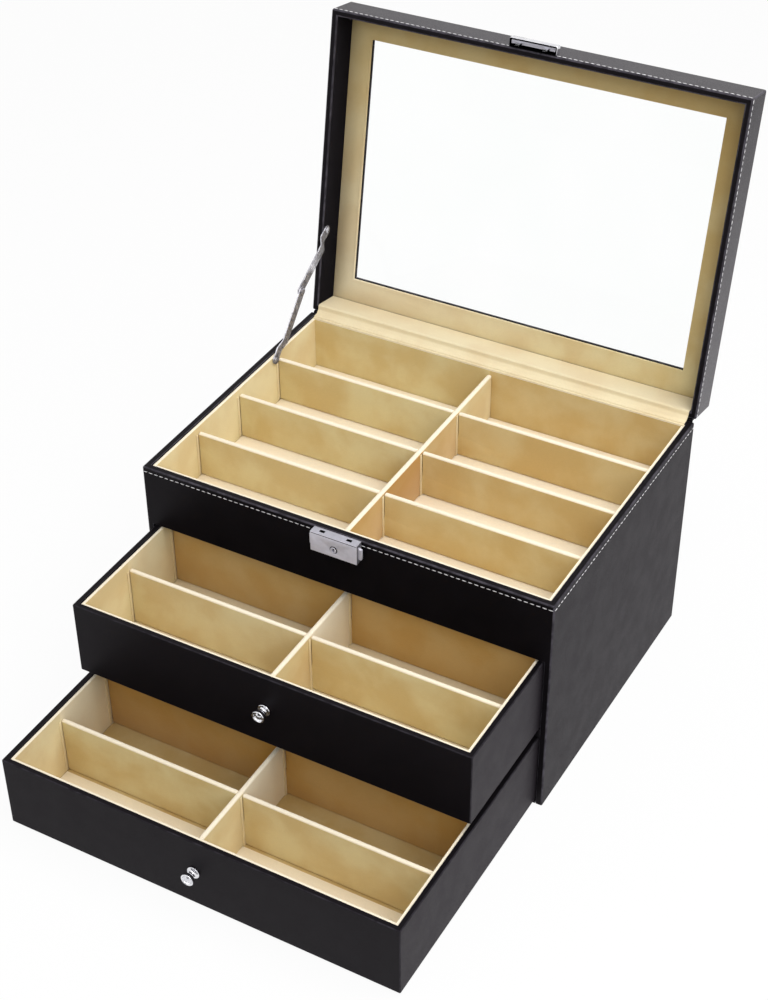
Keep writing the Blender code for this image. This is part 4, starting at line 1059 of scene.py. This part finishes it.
def smoothPath(corners, radius):
    # rounds the corners of a (Y, Z) path
    steps, most = stripSteps["bend"], stripSteps["reach"]
    path = [Vector(corners[0])]
    for before, corner, after in zip(corners, corners[1:], corners[2:]):
        before, corner, after = Vector(before), Vector(corner), Vector(after)
        reach = min(radius, (before - corner).length * most, (after - corner).length * most)
        start = corner + (before - corner).normalized() * reach
        end = corner + (after - corner).normalized() * reach
        for step in range(steps + 1):
            t = step / steps
            path.append(start.lerp(corner, t).lerp(corner.lerp(end, t), t))
    path.append(Vector(corners[-1]))
    return path


def stripAlong(name, corners, look, halfWidth, material):
    # a ribbon of even thickness along the path, on the path's right side
    path, across = smoothPath(corners, mm(look["bend"])), stripSteps["across"]
    dense = [path[0]]
    for point in path[1:]:
        start = dense[-1]
        count = max(1, math.ceil((point - start).length / mm(stripSteps["longest"])))
        dense += [start.lerp(point, (i + 1) / count) for i in range(count)]
    bm = bmesh.new()
    sheets = [[], []]
    for index, point in enumerate(dense):
        ahead = dense[min(index + 1, len(dense) - 1)] - dense[max(index - 1, 0)]
        beside = point + Vector((ahead.y, -ahead.x)).normalized() * mm(look["thick"])
        for sheet, place in zip(sheets, (point, beside)):
            xs = [-halfWidth + 2 * halfWidth * i / across for i in range(across + 1)]
            sheet.append([bm.verts.new((x, place.x, place.y)) for x in xs])
    one, other = sheets
    for sheet in sheets:
        for a, b in zip(sheet, sheet[1:]):
            for i in range(across):
                bm.faces.new((a[i], a[i + 1], b[i + 1], b[i]))
    for side in (0, across):
        for a in range(len(dense) - 1):
            bm.faces.new((one[a][side], one[a + 1][side], other[a + 1][side], other[a][side]))
    for row in (0, -1):
        for i in range(across):
            bm.faces.new((one[row][i], one[row][i + 1], other[row][i + 1], other[row][i]))
    bmesh.ops.recalc_face_normals(bm, faces=bm.faces)
    return toPiece(name, bm, material, sharp=60)


liningLow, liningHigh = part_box("hinge_lining")
gap = mm(liningStrip["gap"])
rimTop, trayTop = rightHigh.z + gap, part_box("tray_lining")[1].z + gap
overRim, behind, inLid = liningStrip["overRim"], liningStrip["behind"], liningStrip["inLid"]
hingeLining = stripAlong("hingeLining", [
    onLid(inLid, innerLook["face"] - liningStrip["underFace"]),
    onLid(inLid, overRim),
    onLid(behind, overRim),
    (pivot.y - mm(behind), rimTop),
    (backLow.y - gap, rimTop),
    (backLow.y - gap, trayTop),
    (liningLow.y, trayTop),
], liningStrip, liningHigh.x, suede)
# painted light makes the hinge band paler
shade(hingeLining, "raised", lambda co: fitLook["bandPaintedLight"])
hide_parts("hinge_lining")
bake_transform(hingeLining)

leatherLow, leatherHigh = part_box("hinge_leather")
behind = leatherStrip["behind"]
hingeLeather = stripAlong("hingeLeather", [
    (pivot.y - mm(behind), leatherLow.z),
    (pivot.y - mm(behind), pivot.z + mm(behind) * math.tan(math.radians(leatherStrip["slope"]))),
    onLid(behind, leatherStrip["leg"]),
], leatherStrip, leatherHigh.x, leather)
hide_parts("hinge_leather")
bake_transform(hingeLeather)
print("hinge strips done")


# the lock: a carved housing, with painted shade in its hollows and, less, on its top and its ends
lockLook = {"core": 3.7, "face": 0.3, "gap": 0.3, "seamEnd": 0.4, "seamDown": 0.7, "seamHigh": 0.5,
            "seamDeep": 0.3, "bore": 3.05, "boreFront": 1.0, "boreDeep": 2.6, "round": 0.16, "skin": 0.19,
            "top": 0.4, "ends": 0.8, "turns": 48}
buttonLook = {"round": 0.25, "lower": 1.2, "lowerFrom": 1.3, "padFrom": 0.2, "setBack": 0.5,
              "proudFrom": 0.1, "faceFrom": 1.0}
haspLook = {"sheet": 0.8, "round": 0.15, "deep": 5.6, "end": 1.5, "above": 1.6, "below": 2.4, "thick": 1.5,
            "plateRound": 0.25, "plate": 0.45, "prongWide": 1.2, "prongThick": 0.2, "tip": 0.05}
haspCorners = [toClosed @ vertex.co for vertex in nodes["hasp"].data.vertices]
haspLow, haspHigh = extremes(haspCorners)
prongTips = [corner for corner in haspCorners if corner.z < haspLow.z + mm(haspLook["tip"])]
lockFace = lockLow.y + mm(lockLook["face"])
cylinderLow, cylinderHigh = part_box("lock_cylinder")
bore = Vector((0, lockFace, (cylinderLow.z + cylinderHigh.z) / 2))

seam, seamEnd = lockHigh.z - mm(lockLook["seamDown"]), mm(lockLook["seamEnd"])
hollows = [((lockLow.x + seamEnd, lockFace - far, seam - mm(lockLook["seamHigh"])),
            (lockHigh.x - seamEnd, lockFace + mm(lockLook["seamDeep"]), seam))]
slack = mm(lockLook["gap"])
for name, sign in (("lock_button_left", -1), ("lock_button_right", 1)):
    low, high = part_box(name)
    ends = sorted((sign * mm(lockLook["core"]), sign * (lockHigh.x + far)))
    hollows.append(((ends[0], low.y - slack, low.z - slack), (ends[1], high.y + slack, high.z + slack)))
    start, stop = extremes([tip for tip in prongTips if tip.x * sign > 0])
    wide = slack * 3  # the prong's slot leaves room for its swing
    hollows.append(((start.x - wide, pivot.y + start.y - slack, high.z),
                    (stop.x + wide, pivot.y + stop.y + wide, lockHigh.z + far)))
lockHousing = carvedBox("lockHousing", (lockLow.x, lockFace, lockLow.z), lockHigh, hollows, satin)
boreRadius, boreFront, boreDeep = mm(lockLook["bore"], -lockLook["boreFront"], lockLook["boreDeep"])
profile = [(0, boreFront), (boreRadius, boreFront), (boreRadius, boreDeep), (0, boreDeep)]
drill = turned(profile, lockLook["turns"], Matrix.Translation(bore) @ Matrix.Rotation(-quarterTurn, 4, "X"))
cutAway(lockHousing, toPiece("lockDrill", drill, satin))
sharpen(easeEdges(lockHousing, mm(lockLook["round"])).data, 35)


# painted shade: full in the hollows, part on the top and the ends
def lockPaintedShade(co, facing):
    deep = mm(lockLook["skin"])
    across = lockLow.x + deep < co.x < lockHigh.x - deep
    if across and co.y > lockFace + deep and lockLow.z + deep < co.z < lockHigh.z - deep:
        return 1.0
    return lockLook["top"] if facing.z > 0.9 else (lockLook["ends"] if abs(facing.x) > 0.9 else 0.0)


ownBy(shadeFaces(lockHousing, "inside", lockPaintedShade), "case", "chrome", "lock_housing")

# the buttons: the pad that shows is a little lower than the plate that slides
for side in ("left", "right"):
    low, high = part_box(f"lock_button_{side}")
    piece = refined("lockButton" + side.title(), f"lock_button_{side}", mm(buttonLook["round"]), satin)
    for vertex in piece.data.vertices:
        out = abs(vertex.co.x) - lockHigh.x
        if out > -mm(buttonLook["padFrom"]) and vertex.co.z > high.z - mm(buttonLook["lowerFrom"]):
            vertex.co.z -= mm(buttonLook["lower"])
        if out > mm(buttonLook["proudFrom"]) and vertex.co.y < low.y + mm(buttonLook["faceFrom"]):
            vertex.co.y += mm(buttonLook["setBack"])
    ownBy(piece, f"lock_button_{side}", "chrome", f"lock_button_{side}")


def haspPaintedShade(co, facing):  # painted shade in the channel's hollow, but not on its outer faces or its prongs
    place = toClosed @ co
    deep = mm(haspLook["sheet"])
    wide, thick = mm(haspLook["prongWide"], haspLook["prongThick"])
    if any(abs(place.x - tip.x) < wide and abs(place.y - tip.y) < thick for tip in prongTips):
        return 0.0
    across = haspLow.x + deep < place.x < haspHigh.x - deep
    return 1.0 if across and haspLow.y + deep < place.y and place.z < haspHigh.z - deep else 0.0


hasp = refined("hasp", "hasp", mm(haspLook["round"]), chrome)
ownBy(shadeFaces(hasp, "inside", haspPaintedShade), "lid", "chrome", "hasp")
rootZ = haspHigh.z - mm(haspLook["deep"])
end, above, below, thick = mm(*(haspLook[key] for key in ("end", "above", "below", "thick")))
plate = boxBetween((haspLow.x + end, haspLow.y + above, rootZ),
                   (haspHigh.x - end, haspHigh.y - below, rootZ + thick))
bmesh.ops.bevel(plate, geom=plate.edges[:], offset=mm(haspLook["plateRound"]), segments=2, profile=0.5,
                affect="EDGES")
bmesh.ops.transform(plate, matrix=openLid, verts=plate.verts)
haspPlate = toPiece("haspPlate", plate, satin)
# painted shade darkens the whole plate in the hasp's channel
ownBy(shadeFaces(haspPlate, "inside", lambda co, facing: haspLook["plate"]), "lid", "chrome")

# the key cylinder, whose face has a slot: painted shade darkens the gap round its face and the slot
keyLook = {"radius": 2.45, "deep": 2.2, "proud": 0.6, "edge": 0.2, "slot": (1.0, 1.9, 1.7), "slotBack": -0.1,
           "dark": 0.1}
radius, deep, face, edge = mm(*(keyLook[key] for key in ("radius", "deep", "proud", "edge")))
profile = [(0, -deep), (radius, -deep), (radius, face - edge), (radius - edge, face), (0, face)]
bm = turned(profile, lockLook["turns"],
            Matrix.Translation(bore) @ Matrix.Rotation(quarterTurn, 4, "X"))
key = toPiece("lockCylinder", bm, satin)
middle, reach = bore + Vector(mm(0, keyLook["slotBack"], 0)), Vector(mm(*keyLook["slot"]))
sharpen(cutAway(key, toPiece("keySlot", boxBetween(middle - reach, middle + reach), satin)).data, 35)


def keyPaintedShade(co, facing):
    return 1.0 if co.y > lockFace + mm(keyLook["dark"]) else 0.0


ownBy(shadeFaces(key, "inside", keyPaintedShade), "lock_cylinder", "plated_steel", "lock_cylinder")

# the springs: a merged copy of each, in steel
for side, sign in (("left", -1), ("right", 1)):
    name = f"lock_spring_{side}"
    bm = bmesh.new()
    bm.from_mesh(nodes[name].data)
    bmesh.ops.remove_doubles(bm, verts=bm.verts, dist=mm(meshLook["weld"]))
    spring = toPiece("lockSpring" + side.title(), bm, steel, sharp=60)
    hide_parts(name)
    low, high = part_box(name)
    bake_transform(spring)

# the folding stay
stayLook = {"round": 0.12, "wider": 1.2}


def widened(piece, share):  # across an arm's length, about its middle line
    points = [vertex.co for vertex in piece.data.vertices]
    low, high = extremes(points)
    ends = [Vector((0, low.y, low.z)), Vector((0, high.y, high.z))]
    middle, along = (ends[0] + ends[1]) / 2, (ends[1] - ends[0]).normalized()
    across = Vector((0, -along.z, along.y))
    for point in points:
        point += across * ((point - middle).dot(across) * (share - 1.0))


for name in ("stay_lower_arm", "stay_upper_arm", "stay_elbow_rivet", "stay_lower_screw", "stay_upper_screw"):
    first, *others = name.split("_")
    piece = refined(first + "".join(word.title() for word in others), name, mm(stayLook["round"]), steel)
    if name.endswith("arm"):
        widened(piece, stayLook["wider"])
    ownBy(piece, nodes[name]["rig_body"], "plated_steel", name)
print("metalwork done")


# the camera, solved from the photo's corners: place in metres, turn in degrees, the rest in pixels
cameraLook = {"place": (0.5557, -1.0457, 1.0351), "turn": (50.3773, 1.5524, 30.5907), "focus": 1944.9,
              "centre": (317.74, 585.31), "frame": (768, 1000), "sensor": 36.0, "nearest": 0.02}
camera = bpy.data.objects.new("camera", bpy.data.cameras.new("camera"))
scene.collection.objects.link(camera)
camera.location = cameraLook["place"]
camera.rotation_euler = [math.radians(angle) for angle in cameraLook["turn"]]
(frameWide, frameHigh), (centreX, centreY) = cameraLook["frame"], cameraLook["centre"]
camera.data.sensor_fit = "VERTICAL"
camera.data.sensor_height = cameraLook["sensor"]
camera.data.lens = cameraLook["focus"] / frameHigh * cameraLook["sensor"]
camera.data.shift_x = (frameWide / 2 - centreX) / frameHigh
camera.data.shift_y = (centreY - frameHigh / 2) / frameHigh
camera.data.clip_start = cameraLook["nearest"]
scene.camera = camera

# a pale floor, white to the camera but for a faint shadow
stageLook = {"floor": "f4f4f4", "share": 0.94, "half": 6.0, "ambient": 0.42}
white = (1, 1, 1, 1)
bm = bmesh.new()
bmesh.ops.create_grid(bm, x_segments=1, y_segments=1, size=stageLook["half"])
floorMaterial = bpy.data.materials.new("paleFloor")
floorMaterial.use_nodes = True
tree = floorMaterial.node_tree
tree.nodes.clear()
matt = put(tree, "ShaderNodeBsdfDiffuse", {"Color": toLinear(stageLook["floor"])}).outputs[0]
glow = put(tree, "ShaderNodeEmission", {"Color": white, "Strength": 1.0}).outputs[0]
rays = put(tree, "ShaderNodeLightPath").outputs
seen = larger(tree, times(tree, rays["Is Camera Ray"], stageLook["share"]), rays["Is Glossy Ray"])
plain = larger(tree, seen, rays["Is Transmission Ray"])
mixed = put(tree, "ShaderNodeMixShader", {0: plain, 1: matt, 2: glow}).outputs[0]
put(tree, "ShaderNodeOutputMaterial", {"Surface": mixed})
toPiece("floor", bm, floorMaterial)

# a dark card in front that only polished metal shows
cardPlace = {"middle": (0.0, -1.9, 0.55), "size": (1.0, 0.5, 1.0), "colour": "050505"}
matrix = Matrix.Rotation(quarterTurn, 4, "X") @ scaledBy(cardPlace["size"])
bm = bmesh.new()
bmesh.ops.create_grid(bm, x_segments=1, y_segments=1, size=1.0,
                      matrix=Matrix.Translation(cardPlace["middle"]) @ matrix)
cardMaterial = bpy.data.materials.new("darkCard")
cardMaterial.use_nodes = True
cardShader = cardMaterial.node_tree.nodes["Principled BSDF"]
fill(cardMaterial.node_tree, cardShader, {"Base Color": toLinear(cardPlace["colour"])})
card = toPiece("darkCard", bm, cardMaterial)
card.visible_camera = card.visible_diffuse = card.visible_transmission = card.visible_shadow = False

world = bpy.data.worlds.new("studio")
scene.world = world
world.use_nodes = True
tree = world.node_tree
tree.nodes.clear()
rays = put(tree, "ShaderNodeLightPath").outputs
seen = larger(tree, rays["Is Camera Ray"], larger(tree, rays["Is Glossy Ray"], rays["Is Transmission Ray"]))
lit, shown = (put(tree, "ShaderNodeBackground", {"Color": white, "Strength": strength}).outputs[0]
              for strength in (stageLook["ambient"], 1.0))
mixed = put(tree, "ShaderNodeMixShader", {0: seen, 1: lit, 2: shown}).outputs[0]
put(tree, "ShaderNodeOutputWorld", {"Surface": mixed})

# soft lamps: place, aim, width and power
lampLook = {
    "keyLight": ((0.6, 0.05, 1.6), (0, -0.05, 0.1), 1.0, 17.0),
    "sideLight": ((1.0, -0.9, 1.2), (0, -0.1, 0.1), 1.0, 7.0),
    "fillLight": ((-0.6, -1.2, 1.3), (0, -0.1, 0.1), 1.2, 4.0),
}
for name, (place, aim, wide, power) in lampLook.items():
    light = bpy.data.lights.new(name, "AREA")
    light.shape, light.size, light.size_y, light.energy = "RECTANGLE", wide, wide, power
    lamp = bpy.data.objects.new(name, light)
    scene.collection.objects.link(lamp)
    lamp.location = place
    lamp.rotation_euler = (Vector(aim) - Vector(place)).to_track_quat("-Z", "Y").to_euler()
print("camera and lights done")

scene.view_settings.view_transform = "Standard"
